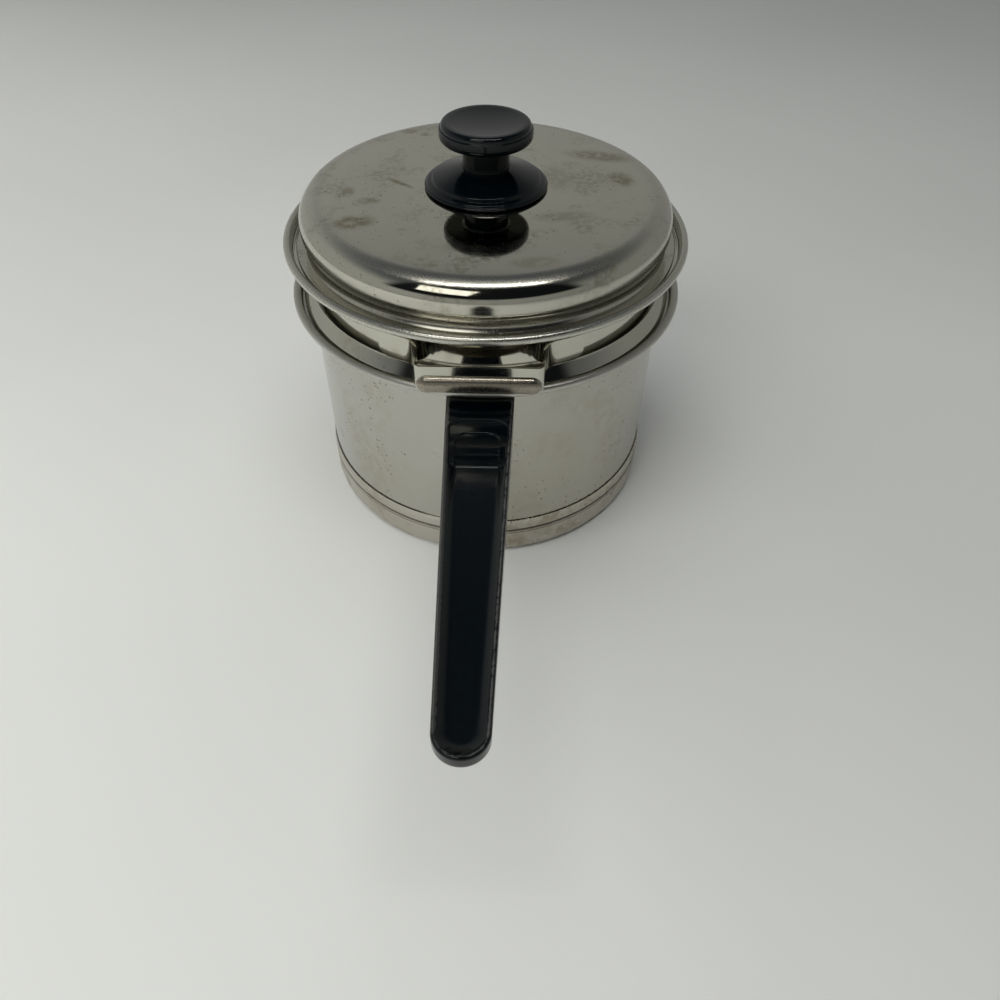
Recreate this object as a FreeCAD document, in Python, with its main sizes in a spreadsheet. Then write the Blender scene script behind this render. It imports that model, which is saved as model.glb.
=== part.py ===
import FreeCAD, Part
import math
import os
import re

import Sketcher
from FreeCAD import Placement, Rotation, Vector

# A stovetop double boiler: a lower pan with a long handle, a hanging insert with two lift ears, and a lid.
# Millimetres. The origin is the middle of the base on the table, +Z is up and the handle points along -Y.

sizes = {
    # lower pan
    "wall_radius": 80,  # outside of the wall
    "steel_sheet": 0.8,  # wall of the pan, the insert and the lid
    "pan_corner": 9,  # outside bend from the floor to the wall
    "pan_bead_height": 102,  # middle of the rolled rim above the table
    "pan_bead_offset": 6.2,  # middle of the rolled rim outside the wall
    "pan_shelf_drop": 2.1,  # top of the shelf below the middle of the rolled rim
    "bead_radius": 1.8,  # outside of both rolled rims
    "curl_bend": 0.5,  # where a shelf turns up into its rolled rim
    "flare_bend": 2,  # where a wall turns out into its shelf
    # base
    "cup_sheet": 1,
    "cup_clearance": 0.1,  # between the base cup and the pan's wall
    "cup_height": 20.7,
    "cup_corner": 4,
    "groove_height": 14.5,
    "groove_depth": 0.6,
    "groove_width": 1.8,
    "core_margin": 1,  # from the edge of the core disc to the bend of the pan's floor
    "core_thickness": 4.2,
    # insert
    "insert_clearance": 0.7,  # between the insert and the pan's wall
    "rim_spacing": 24.4,  # from the pan's rolled rim up to the insert's
    "insert_bead_offset": 7.9,
    "insert_shelf_drop": 2.8,
    "stop_reach": 4.6,  # how far the stop ring stands out of the insert's wall
    "stop_rise": 6.2,
    "stop_edge": 1.1,
    "stop_bend": 0.8,
    "seat_gap": 0.3,  # between a piece that lifts off and its seat
    "water_depth": 34,  # from the pan's floor up to the insert
    "insert_corner": 10,
    # lift ears
    "ear_sheet": 1,
    "ear_stand_off": 10.1,  # from the insert's wall to the front of the ear
    "ear_width": 50,
    "ear_corner": 3,
    "ear_bend": 8,  # where an arm leaves the wall
    "ear_drop": 9.9,  # top of the ear below the middle of the insert's rolled rim
    "tab_gap": 0.9,  # from the top of the stop ring up to the ear's arms and tabs
    "apron_drop": 2.6,  # how much lower than its arms the front of the ear reaches
    "apron_depth": 5,
    "tab_span": 81,
    "tab_corner": 4,
    "lip_radius": 3.1,
    "lip_inset": 1.5,  # from the end of the rolled lip to the side of the ear
    "lip_bulge": 2.6,  # how far the rolled lip stands out of the ear's front
    "weld_gap": 0.05,
    # lid
    "lid_clearance": 1.7,  # between the brim and the insert's rolled rim
    "lid_shoulder": 9,
    "lid_rise": 20.5,  # from the brim up to the flat top
    "lid_wall_rise": 7.6,  # from the brim up to the edge of the wall
    "lid_neck_radius": 5,
    "lid_neck": 1.2,  # how far the lid's wall comes in at the brim
    "brim_width": 4.1,
    # knob
    "skirt_radius": 26.1,
    "skirt_foot_inset": 1.5,
    "skirt_foot": 1,
    "skirt_edge": 1.2,
    "skirt_ring": 0.6,  # step between the edge and the ring above it
    "skirt_ring_height": 0.8,
    "skirt_crease_inset": 3.6,
    "skirt_crease_height": 4.3,
    "skirt_height": 8.4,
    "skirt_hollow": 2,
    "skirt_hollow_inset": 6.1,
    "skirt_hub_radius": 8,
    "neck_radius": 9.8,
    "neck_height": 9.3,
    "neck_cove": 1.6,
    "cap_radius": 19.3,
    "cap_round": 2.2,
    "cap_side": 2.8,
    "cap_step": 0.8,
    "cap_lip": 2.25,  # height of the stepped top above the cap's side
    "cap_lip_round": 1.7,
    "cap_dish": 1.1,
    "bush_radius": 3.6,
    "bush_length": 11.5,
    "knob_thread": 10,  # length of the screw inside the bush
    # screws and washers, alike on the knob and the handle
    "screw_radius": 2,
    "screw_head_radius": 4,
    "screw_head": 2.2,
    "slot_width": 1.1,
    "slot_depth": 1,
    "washer_radius": 4.6,
    "washer_sheet": 0.8,
    "screw_clearance": 0.25,  # where a screw passes through
    "thread_gap": 0.03,  # where a screw or a bush is held
    # handle
    "grip_drop": 3.6,  # top of the grip below the underside of the pan's shelf
    "grip_depth": 19,  # at the pan
    "grip_end_depth": 6.5,
    "grip_length": 153.3,  # from the pan's wall
    "grip_root_width": 27.6,
    "grip_end_width": 17.2,
    "grip_gap": 0.3,  # between the grip and the pan's wall
    "grip_block": 20,  # length of the full-depth block at the pan
    "grip_round": 3,  # lower edges
    "grip_edge": 0.7,  # upper edges
    "rim_width": 2,  # raised rim round the trough
    "rest_start": 13.8,  # from the wall to the first step of the thumb rest
    "rest_round": 7,
    "rest_depth": 1.6,
    "second_start": 20.8,
    "second_inset": 2.4,
    "second_round": 5,
    "second_depth": 1.2,
    "third_start": 32.1,
    "third_depth": 1,
    "trough_start": 38.9,
    "trough_depth": 5,
    "trough_slope": 2.9,  # how far the trough's side comes in on the way down
    "trough_end_slope": 8,
    "trough_round": 1.5,
    "bracket_width": 20,
    "bracket_height": 13,
    "bracket_sheet": 1.6,
    "bracket_drop": 10.5,  # middle of the bracket below the top of the grip
    "tongue_width": 11,
    "tongue_height": 5,
    "tongue_length": 26,
    "socket_gap": 0.25,
    "screw_reach": 16,  # from the wall to the handle's screw
    "screw_web": 2,  # grip left between the tongue and the washer
    "cut_overrun": 6,  # how far a cut runs past what it cuts
}

# Places and sizes that follow from the ones above
derived = {
    "pan_floor": "cup_sheet + core_thickness",
    "pan_shelf": "pan_bead_height - pan_shelf_drop",
    "cup_inside": "wall_radius + cup_clearance",
    "cup_radius": "cup_inside + cup_sheet",
    "core_radius": "wall_radius - pan_corner - core_margin",
    "insert_radius": "wall_radius - steel_sheet - insert_clearance",
    "insert_floor": "pan_floor + steel_sheet + water_depth",
    "insert_bead_height": "pan_bead_height + rim_spacing",
    "insert_bead": "insert_radius + insert_bead_offset",
    "insert_shelf": "insert_bead_height - insert_shelf_drop",
    "stop_bottom": "pan_shelf + seat_gap",
    "stop_radius": "insert_radius + stop_reach",
    "stop_top": "stop_bottom + stop_rise",
    "ear_top": "insert_bead_height - ear_drop",
    "ear_front": "insert_radius + ear_stand_off",
    "ear_bottom": "stop_top + tab_gap",
    "apron_height": "ear_top - ear_bottom + apron_drop",
    "lip_length": "ear_width - lip_inset * 2",
    "tab_inside": "insert_radius + weld_gap",
    "tab_outside": "tab_inside + ear_sheet",
    "bend_reach": "tab_outside + ear_bend",
    "bend_across": "ear_width / 2 + ear_bend",
    "bend_along": "sqrt(bend_reach ^ 2 - bend_across ^ 2)",
    "brim_bottom": "insert_shelf + seat_gap",
    "brim_top": "brim_bottom + steel_sheet",
    "brim_radius": "insert_bead - bead_radius - lid_clearance",
    "brim_inside": "brim_radius - brim_width",
    "lid_radius": "brim_inside + lid_neck",
    "lid_flat_radius": "lid_radius - lid_shoulder",
    "lid_top": "brim_top + lid_rise",
    "lid_underside": "lid_top - steel_sheet",
    "screw_hole": "screw_radius + screw_clearance",
    "thread_hole": "screw_radius + thread_gap",
    "cap_bottom": "lid_top + skirt_height",
    "cap_underside": "neck_height + neck_cove",
    "cap_side_top": "cap_underside + cap_round + cap_side",
    "cap_top": "cap_side_top + cap_lip",
    "grip_top": "pan_shelf - steel_sheet - grip_drop",
    "grip_end": "wall_radius + grip_length",
    "grip_end_middle": "grip_end - grip_end_width / 2",
    "grip_bottom": "grip_top - grip_depth",
    "grip_taper": "(grip_root_width - grip_end_width) / 2 / (grip_end_middle - wall_radius)",
    "bracket_inside": "wall_radius + weld_gap",
    "bracket_outside": "bracket_inside + bracket_sheet",
    "bracket_middle": "grip_top - bracket_drop",
    "tongue_end": "bracket_outside + tongue_length",
    "tongue_bottom": "bracket_middle - tongue_height / 2",
    "handle_screw_place": "wall_radius + screw_reach",
    "handle_screw_seat": "tongue_bottom - socket_gap - screw_web",
}

# The stop ring's inner slope starts this share of the sheet below its outer slope
inner_slope_share = 0.5

doc = FreeCAD.newDocument("double_boiler")
dims = doc.addObject("Spreadsheet::Sheet", "dims")
for row, (alias, size) in enumerate(sizes.items(), start=1):
    dims.set(f"A{row}", alias)
    dims.set(f"B{row}", str(size))
    dims.setAlias(f"B{row}", alias)
doc.recompute()

word = re.compile(r"[a-z_]+")


def bind(text):
    """The expression that the document gets: derived places are spelled out and sizes named in the sheet."""
    def spell(match):
        name = match.group()
        if name in derived:
            return "(" + bind(derived[name]) + ")"
        return "dims." + name if name in sizes else name
    return word.sub(spell, text)


def value(text):
    return float(dims.evalExpression(bind(text)))


def new_body(label):
    body = doc.addObject("PartDesign::Body", label)
    body.Label = label
    return body


def arc_middle(start, end, radius, turn):
    """The point halfway along an arc that turns left (1) or right (-1) from start to end."""
    chord = end - start
    left = Vector(-chord.y, chord.x, 0) / chord.Length
    rise = radius - math.sqrt(max(radius ** 2 - chord.Length ** 2 / 4, 0))
    return (start + end) / 2 - left * turn * rise


def outline(body, name, role, corners, level="0"):
    """A closed sketch on one of the body's planes. A corner is (across, up), and where an arc leads to the
    next corner, (across, up, radius, turn)."""
    sketch = body.newObject("Sketcher::SketchObject", name)
    plane = next(feature for feature in body.Origin.OriginFeatures if feature.Role == role)
    sketch.AttachmentSupport = [(plane, "")]
    sketch.MapMode = "FlatFace"
    sketch.setExpression("AttachmentOffset.Base.z", bind(level))
    places = [Vector(value(corner[0]), value(corner[1]), 0) for corner in corners]
    ends = []
    for corner, start, end in zip(corners, places, places[1:] + places[:1]):
        if len(corner) == 2:
            sketch.addGeometry(Part.LineSegment(start, end), False)
            ends.append((1, 2))
            continue
        turn = corner[3]
        middle = arc_middle(start, end, value(corner[2]), turn)
        arc = Part.Arc(start, middle, end) if turn > 0 else Part.Arc(end, middle, start)
        sketch.addGeometry(arc, False)
        ends.append((1, 2) if turn > 0 else (2, 1))
    rules = []
    texts = []
    for index, (corner, place) in enumerate(zip(corners, places)):
        after = (index + 1) % len(corners)
        first, last = ends[index]
        rules.append(Sketcher.Constraint("Coincident", index, last, after, ends[after][0]))
        texts.append(None)
        for kind, axis, text, size in (("DistanceX", -2, corner[0], place.x),
                                       ("DistanceY", -1, corner[1], place.y)):
            if text == "0":
                rules.append(Sketcher.Constraint("PointOnObject", index, first, axis))
                texts.append(None)
            else:
                rules.append(Sketcher.Constraint(kind, -1, 1, index, first, size))
                texts.append(text)
        if len(corner) > 2:
            rules.append(Sketcher.Constraint("Radius", index, value(corner[2])))
            texts.append(corner[2])
    numbers = sketch.addConstraint(rules)
    for number, text in zip(numbers, texts):
        if text is not None:
            sketch.setExpression(f"Constraints[{number}]", bind(text))
    return sketch


def circle(body, name, across, up, radius, level="0"):
    """A full circle on the body's XY plane."""
    sketch = body.newObject("Sketcher::SketchObject", name)
    plane = next(feature for feature in body.Origin.OriginFeatures if feature.Role == "XY_Plane")
    sketch.AttachmentSupport = [(plane, "")]
    sketch.MapMode = "FlatFace"
    sketch.setExpression("AttachmentOffset.Base.z", bind(level))
    middle = Vector(value(across), value(up), 0)
    sketch.addGeometry(Part.Circle(middle, Vector(0, 0, 1), value(radius)), False)
    sketch.addConstraint(Sketcher.Constraint("Radius", 0, value(radius)))
    sketch.setExpression("Constraints[0]", bind(radius))
    for kind, axis, text, size in (("DistanceX", -2, across, middle.x), ("DistanceY", -1, up, middle.y)):
        if text == "0":
            sketch.addConstraint(Sketcher.Constraint("PointOnObject", 0, 3, axis))
        else:
            number = sketch.addConstraint(Sketcher.Constraint(kind, -1, 1, 0, 3, size))
            sketch.setExpression(f"Constraints[{number}]", bind(text))
    return sketch


def revolve(body, corners):
    """Turns a half section, drawn as (radius, height), about the body's own Z axis."""
    sketch = outline(body, body.Label + "_section", "XZ_Plane", corners)
    turned = body.newObject("PartDesign::Revolution", body.Label + "_turned")
    turned.Profile = sketch
    turned.ReferenceAxis = (sketch, ["V_Axis"])
    turned.Angle = 360
    return turned


def pad(body, sketch, length, down=False):
    feature = body.newObject("PartDesign::Pad", sketch.Label + "_pad")
    feature.Profile = sketch
    feature.setExpression("Length", bind(length))
    feature.Reversed = down
    return feature


def pocket(body, sketch, depth, away=False):
    """Cuts along the sketch's normal turned round, or along the normal itself where away is set."""
    doc.recompute()
    before = body.Shape.Volume
    feature = body.newObject("PartDesign::Pocket", sketch.Label + "_pocket")
    feature.Profile = sketch
    feature.setExpression("Length", bind(depth))
    feature.Reversed = away
    doc.recompute()
    if not body.Shape.Volume < before:
        raise RuntimeError(f"{feature.Label} cuts nothing")
    return feature


def fillet(body, name, radius, wanted):
    """Rounds the edges of the body's tip that the test picks out."""
    doc.recompute()
    tip = body.Tip
    edges = [f"Edge{number}" for number, edge in enumerate(tip.Shape.Edges, start=1)
             if wanted(edge.BoundBox)]
    feature = body.newObject("PartDesign::Fillet", name)
    feature.Base = (tip, edges)
    feature.setExpression("Radius", bind(radius))
    doc.recompute()
    return feature


def rim(wall, shelf, bead, height):
    """The corners of a rim from the outside of the wall round the rolled edge to the inside of the wall:
    the wall turns out into a flat shelf, which turns up and rolls over outwards into a hollow bead."""
    hollow = "(bead_radius - steel_sheet)"
    turn_up = f"{bead} - bead_radius - curl_bend"
    return [
        (wall, f"{shelf} - steel_sheet - flare_bend", "flare_bend", -1),
        (f"{wall} + flare_bend", f"{shelf} - steel_sheet"),
        (turn_up, f"{shelf} - steel_sheet", "curl_bend + steel_sheet", 1),
        (f"{bead} - {hollow}", f"{shelf} + curl_bend"),
        (f"{bead} - {hollow}", height, hollow, -1),
        (bead, f"{height} + {hollow}", hollow, -1),
        (f"{bead} + {hollow}", height, hollow, -1),
        (bead, f"{height} - {hollow}"),
        (bead, f"{height} - bead_radius", "bead_radius", 1),
        (f"{bead} + bead_radius", height, "bead_radius", 1),
        (bead, f"{height} + bead_radius", "bead_radius", 1),
        (f"{bead} - bead_radius", height),
        (f"{bead} - bead_radius", f"{shelf} + curl_bend", "curl_bend", -1),
        (turn_up, shelf),
        (f"{wall} + flare_bend", shelf, "flare_bend + steel_sheet", 1),
        (f"{wall} - steel_sheet", f"{shelf} - steel_sheet - flare_bend"),
    ]


def make_pan_shell():
    body = new_body("pan_shell")
    bead = "wall_radius + pan_bead_offset"
    floor_edge = "wall_radius - pan_corner"
    outside = [
        ("0", "pan_floor"),
        (floor_edge, "pan_floor", "pan_corner", 1),
        ("wall_radius", "pan_floor + pan_corner"),
    ]
    inside = [
        ("wall_radius - steel_sheet", "pan_floor + pan_corner", "pan_corner - steel_sheet", -1),
        (floor_edge, "pan_floor + steel_sheet"),
        ("0", "pan_floor + steel_sheet"),
    ]
    revolve(body, outside + rim("wall_radius", "pan_shelf", bead, "pan_bead_height") + inside)
    return body


def make_base_cup():
    body = new_body("base_cup")
    revolve(body, [
        ("0", "0"),
        ("cup_radius - cup_corner", "0", "cup_corner", 1),
        ("cup_radius", "cup_corner"),
        ("cup_radius", "groove_height - groove_width / 2"),
        ("cup_radius - groove_depth", "groove_height"),
        ("cup_radius", "groove_height + groove_width / 2"),
        ("cup_radius", "cup_height"),
        ("cup_inside", "cup_height"),
        ("cup_inside", "cup_corner", "cup_corner - cup_sheet", -1),
        ("cup_radius - cup_corner", "cup_sheet"),
        ("0", "cup_sheet"),
    ])
    return body


def make_core_disc():
    disc = doc.addObject("Part::Cylinder", "core_disc")
    disc.Label = "core_disc"
    disc.setExpression("Radius", bind("core_radius"))
    disc.setExpression("Height", bind("core_thickness"))
    disc.setExpression("Placement.Base.z", bind("cup_sheet"))
    return disc


def make_insert_shell():
    body = new_body("insert_shell")
    floor_edge = "insert_radius - insert_corner"
    wall_inside = "insert_radius - steel_sheet"
    outside = [
        ("0", "insert_floor"),
        (floor_edge, "insert_floor", "insert_corner", 1),
        ("insert_radius", "insert_floor + insert_corner"),
        ("insert_radius", "stop_bottom - stop_bend", "stop_bend", -1),
        ("insert_radius + stop_bend", "stop_bottom"),
        ("stop_radius", "stop_bottom"),
        ("stop_radius", "stop_bottom + stop_edge"),
        ("insert_radius", "stop_top"),
    ]
    inside = [
        (wall_inside, f"stop_top - steel_sheet * {inner_slope_share}"),
        ("stop_radius - steel_sheet", "stop_bottom + stop_edge"),
        ("stop_radius - steel_sheet", "stop_bottom + steel_sheet"),
        ("insert_radius + stop_bend", "stop_bottom + steel_sheet", "stop_bend + steel_sheet", 1),
        (wall_inside, "stop_bottom - stop_bend"),
        (wall_inside, "insert_floor + insert_corner", "insert_corner - steel_sheet", -1),
        (floor_edge, "insert_floor + steel_sheet"),
        ("0", "insert_floor + steel_sheet"),
    ]
    upper = rim("insert_radius", "insert_shelf", "insert_bead", "insert_bead_height")
    revolve(body, outside + upper + inside)
    return body


def ear_side(sign):
    """One half of the ear's plan: from its front out to the end of the tab and back along the inside."""
    half = "ear_width / 2"
    inner_half = "(ear_width / 2 - ear_sheet)"
    inner_corner = "ear_corner - ear_sheet"
    tab = "tab_span / 2"
    turn = 1 if sign == "" else -1
    front = [
        (f"{sign}({half} - ear_corner)", "-ear_front", "ear_corner", turn),
        (f"{sign}{half}", "-(ear_front - ear_corner)"),
        (f"{sign}{half}", "-bend_along", "ear_bend", -turn),
        (f"{sign}bend_across * tab_outside / bend_reach", "-bend_along * tab_outside / bend_reach",
         "tab_outside", turn),
        (f"{sign}{tab}", f"-sqrt(tab_outside ^ 2 - ({tab}) ^ 2)"),
    ]
    back = [
        (f"{sign}{tab}", f"-sqrt(tab_inside ^ 2 - ({tab}) ^ 2)", "tab_inside", -turn),
        (f"{sign}bend_across * tab_inside / bend_reach", "-bend_along * tab_inside / bend_reach",
         "ear_bend + ear_sheet", turn),
        (f"{sign}{inner_half}", "-bend_along"),
        (f"{sign}{inner_half}", "-(ear_front - ear_corner)", inner_corner, -turn),
        (f"{sign}({inner_half} - ({inner_corner}))", "-(ear_front - ear_sheet)"),
    ]
    return front + back


def backwards(corners):
    """The same line walked the other way: each arc moves to the corner where it now starts."""
    walked = []
    for corner, before in zip(reversed(corners), list(reversed(corners))[1:] + [None]):
        arc = ()
        if before is not None and len(before) > 2:
            arc = (before[2], -before[3])
        walked.append(corner[:2] + arc)
    return walked


def make_ear(label, turned):
    body = new_body(label)
    plan = ear_side("") + backwards(ear_side("-"))
    pad(body, outline(body, label + "_plan", "XY_Plane", plan, "ear_top"), "apron_height", down=True)
    # The arms and tabs end higher than the front
    arm_back = "-(ear_front - apron_depth)"
    low = "ear_top - apron_height - cut_overrun"
    clearing = outline(body, label + "_clearing", "YZ_Plane", [
        (arm_back, low),
        ("0", low),
        ("0", "ear_bottom"),
        (arm_back, "ear_bottom"),
    ], "-(tab_span / 2 + cut_overrun)")
    pocket(body, clearing, "tab_span + cut_overrun * 2", away=True)
    # The rolled lip is a half-round bulge with round ends, hollow behind
    lip_middle = "ear_top - apron_height + lip_radius"
    for name, radius, kind in (("lip", "lip_radius", "PartDesign::Revolution"),
                               ("lip_hollow", "lip_radius - ear_sheet", "PartDesign::Groove")):
        add_lip(body, f"{label}_{name}", radius, lip_middle, kind)
    trim_lip(body, label + "_trim")
    for side, sign in (("left", "-"), ("right", "")):
        round_tab(body, f"{label}_{side}_tab", sign)
    body.Placement = Placement(Vector(0, 0, 0), Rotation(Vector(0, 0, 1), turned))
    return body


def add_lip(body, name, radius, height, kind):
    """A round bar with ball ends along X, added to the ear's front or taken out of it."""
    half = "(lip_length / 2 - lip_radius)"
    section = [
        (f"-{half}", f"{height} - ({radius})"),
        (half, f"{height} - ({radius})", radius, 1),
        (f"{half} + {radius}", height),
        (f"-({half} + {radius})", height, radius, 1),
    ]
    sketch = outline(body, name + "_section", "XZ_Plane", section, "ear_front + lip_bulge - lip_radius")
    turned = body.newObject(kind, name)
    turned.Profile = sketch
    turned.ReferenceAxis = (sketch, ["Edge3"])
    turned.Angle = 360
    doc.recompute()


def round_tab(body, name, sign):
    """Rounds the lower corner of a tab."""
    end = "tab_span / 2"
    turn = -1 if sign == "" else 1
    corner = outline(body, name, "XZ_Plane", [
        (f"{sign}({end})", "ear_bottom + tab_corner", "tab_corner", turn),
        (f"{sign}({end} - tab_corner)", "ear_bottom"),
        (f"{sign}({end} - tab_corner)", "ear_bottom - cut_overrun"),
        (f"{sign}({end} + cut_overrun)", "ear_bottom - cut_overrun"),
        (f"{sign}({end} + cut_overrun)", "ear_bottom + tab_corner"),
    ])
    pocket(body, corner, "ear_front", away=True)


def trim_lip(body, name):
    """Takes away what the lip leaves behind the ear's front sheet."""
    behind = outline(body, name, "XY_Plane", [
        ("-lip_length / 2", "-(ear_front - ear_sheet)"),
        ("lip_length / 2", "-(ear_front - ear_sheet)"),
        ("lip_length / 2", "-(ear_front - ear_sheet - lip_radius * 2)"),
        ("-lip_length / 2", "-(ear_front - ear_sheet - lip_radius * 2)"),
    ], "ear_top")
    pocket(body, behind, "apron_height + cut_overrun")


def make_lid_shell():
    body = new_body("lid_shell")
    wall_inside = "lid_radius - steel_sheet"
    revolve(body, [
        ("screw_hole", "lid_top"),
        ("lid_flat_radius", "lid_top", "lid_shoulder", -1),
        ("lid_radius", "lid_top - lid_shoulder"),
        ("lid_radius", "brim_top + lid_wall_rise", "lid_neck_radius", 1),
        ("brim_inside", "brim_top"),
        ("brim_radius", "brim_top"),
        ("brim_radius", "brim_bottom"),
        ("brim_inside - steel_sheet", "brim_bottom", "lid_neck_radius", -1),
        (wall_inside, "brim_top + lid_wall_rise"),
        (wall_inside, "lid_top - lid_shoulder", "lid_shoulder - steel_sheet", 1),
        ("lid_flat_radius", "lid_underside"),
        ("screw_hole", "lid_underside"),
    ])
    return body


def make_knob_skirt():
    body = new_body("knob_skirt")
    ring_bottom = "lid_top + skirt_foot + skirt_edge"
    ring = "skirt_radius - skirt_ring"
    hollow = "skirt_radius - skirt_hollow_inset"
    revolve(body, [
        ("screw_hole", "lid_top"),
        ("skirt_hub_radius", "lid_top"),
        ("skirt_hub_radius", "lid_top + skirt_hollow"),
        (hollow, "lid_top + skirt_hollow"),
        (hollow, "lid_top"),
        ("skirt_radius - skirt_foot_inset", "lid_top"),
        ("skirt_radius", "lid_top + skirt_foot"),
        ("skirt_radius", ring_bottom),
        (ring, f"{ring_bottom} + skirt_ring / 2"),
        (ring, f"{ring_bottom} + skirt_ring_height"),
        ("skirt_radius - skirt_crease_inset", "lid_top + skirt_crease_height"),
        ("neck_radius + skirt_ring", "cap_bottom"),
        ("screw_hole", "cap_bottom"),
    ])
    return body


def make_knob_cap():
    body = new_body("knob_cap")
    hole = "bush_radius + thread_gap"
    lip_radius = "cap_radius - cap_step"
    dish_radius = "(cap_dish ^ 2 + (cap_radius - cap_step - cap_lip_round) ^ 2) / cap_dish / 2"
    revolve(body, [
        (hole, "cap_bottom"),
        ("neck_radius", "cap_bottom"),
        ("neck_radius", "cap_bottom + neck_height", "neck_cove", -1),
        ("neck_radius + neck_cove", "cap_bottom + cap_underside"),
        ("cap_radius - cap_round", "cap_bottom + cap_underside", "cap_round", 1),
        ("cap_radius", "cap_bottom + cap_underside + cap_round"),
        ("cap_radius", "cap_bottom + cap_side_top"),
        (lip_radius, "cap_bottom + cap_side_top"),
        (lip_radius, "cap_bottom + cap_top - cap_lip_round", "cap_lip_round", 1),
        (f"{lip_radius} - cap_lip_round", "cap_bottom + cap_top", dish_radius, -1),
        ("0", "cap_bottom + cap_top - cap_dish"),
        ("0", "cap_bottom + bush_length"),
        (hole, "cap_bottom + bush_length"),
    ])
    return body


def make_knob_bush():
    body = new_body("knob_bush")
    revolve(body, [
        ("thread_hole", "cap_bottom"),
        ("bush_radius", "cap_bottom"),
        ("bush_radius", "cap_bottom + bush_length"),
        ("thread_hole", "cap_bottom + bush_length"),
    ])
    return body


def make_screw(label, tip_length):
    """A slotted screw that points up, with the underside of its head at the body's origin."""
    body = new_body(label)
    revolve(body, [
        ("0", "-screw_head"),
        ("screw_head_radius", "-screw_head"),
        ("screw_head_radius", "0"),
        ("screw_radius", "0"),
        ("screw_radius", tip_length),
        ("0", tip_length),
    ])
    slot = outline(body, label + "_slot", "XY_Plane", [
        ("-(screw_head_radius + cut_overrun)", "-slot_width / 2"),
        ("screw_head_radius + cut_overrun", "-slot_width / 2"),
        ("screw_head_radius + cut_overrun", "slot_width / 2"),
        ("-(screw_head_radius + cut_overrun)", "slot_width / 2"),
    ], "-(screw_head + cut_overrun)")
    pocket(body, slot, "cut_overrun + slot_depth", away=True)
    return body


def make_washer(label):
    """A plain washer whose upper face is at the body's origin."""
    body = new_body(label)
    revolve(body, [
        ("screw_hole", "-washer_sheet"),
        ("washer_radius", "-washer_sheet"),
        ("washer_radius", "0"),
        ("screw_hole", "0"),
    ])
    return body


def place(body, along, up):
    body.setExpression("Placement.Base.y", bind(along))
    body.setExpression("Placement.Base.z", bind(up))


def make_bracket():
    body = new_body("handle_bracket")
    half = "bracket_width / 2"
    inner = f"-sqrt(bracket_inside ^ 2 - ({half}) ^ 2)"
    outer = f"-sqrt(bracket_outside ^ 2 - ({half}) ^ 2)"
    plate = outline(body, "bracket_plate", "XY_Plane", [
        (f"-{half}", outer, "bracket_outside", 1),
        (half, outer),
        (half, inner, "bracket_inside", -1),
        (f"-{half}", inner),
    ], "bracket_middle - bracket_height / 2")
    pad(body, plate, "bracket_height")
    tongue = outline(body, "bracket_tongue", "XY_Plane", [
        ("-tongue_width / 2", "-tongue_end"),
        ("tongue_width / 2", "-tongue_end"),
        ("tongue_width / 2", "-(bracket_outside - bracket_sheet / 2)"),
        ("-tongue_width / 2", "-(bracket_outside - bracket_sheet / 2)"),
    ], "tongue_bottom")
    pad(body, tongue, "tongue_height")
    hole = circle(body, "bracket_hole", "0", "-handle_screw_place", "thread_hole",
                  "tongue_bottom + tongue_height + cut_overrun")
    pocket(body, hole, "tongue_height + cut_overrun * 2")
    return body


def grip_plan(start, inset, end_inset, round_size):
    """The plan of the grip or of a hollow in its top: straight tapered sides, round corners at the pan
    where round_size is given, and a round far end."""
    begin = f"(wall_radius + {start})"
    far = f"(grip_end_middle - ({end_inset}) + ({inset}))"
    side = f"(grip_root_width / 2 - ({inset}) - grip_taper * ({begin} - wall_radius))"
    later = f"(grip_root_width / 2 - ({inset}) - grip_taper * ({begin} + ({round_size}) - wall_radius))"
    tip = f"(grip_root_width / 2 - ({inset}) - grip_taper * ({far} - wall_radius))"
    first = [(side, f"-{begin}")]
    last = [(f"-{side}", f"-{begin}")]
    if round_size != "0":
        rounded = f"({begin} + ({round_size}))"
        narrow = f"({side} - ({round_size}))"
        first = [(narrow, f"-{begin}", round_size, -1), (later, f"-{rounded}")]
        last = [(f"-{later}", f"-{rounded}", round_size, -1), (f"-{narrow}", f"-{begin}")]
    return first + [
        (tip, f"-{far}", tip, -1),
        ("0", f"-({far} + {tip})", tip, -1),
        (f"-{tip}", f"-{far}"),
    ] + last


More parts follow.
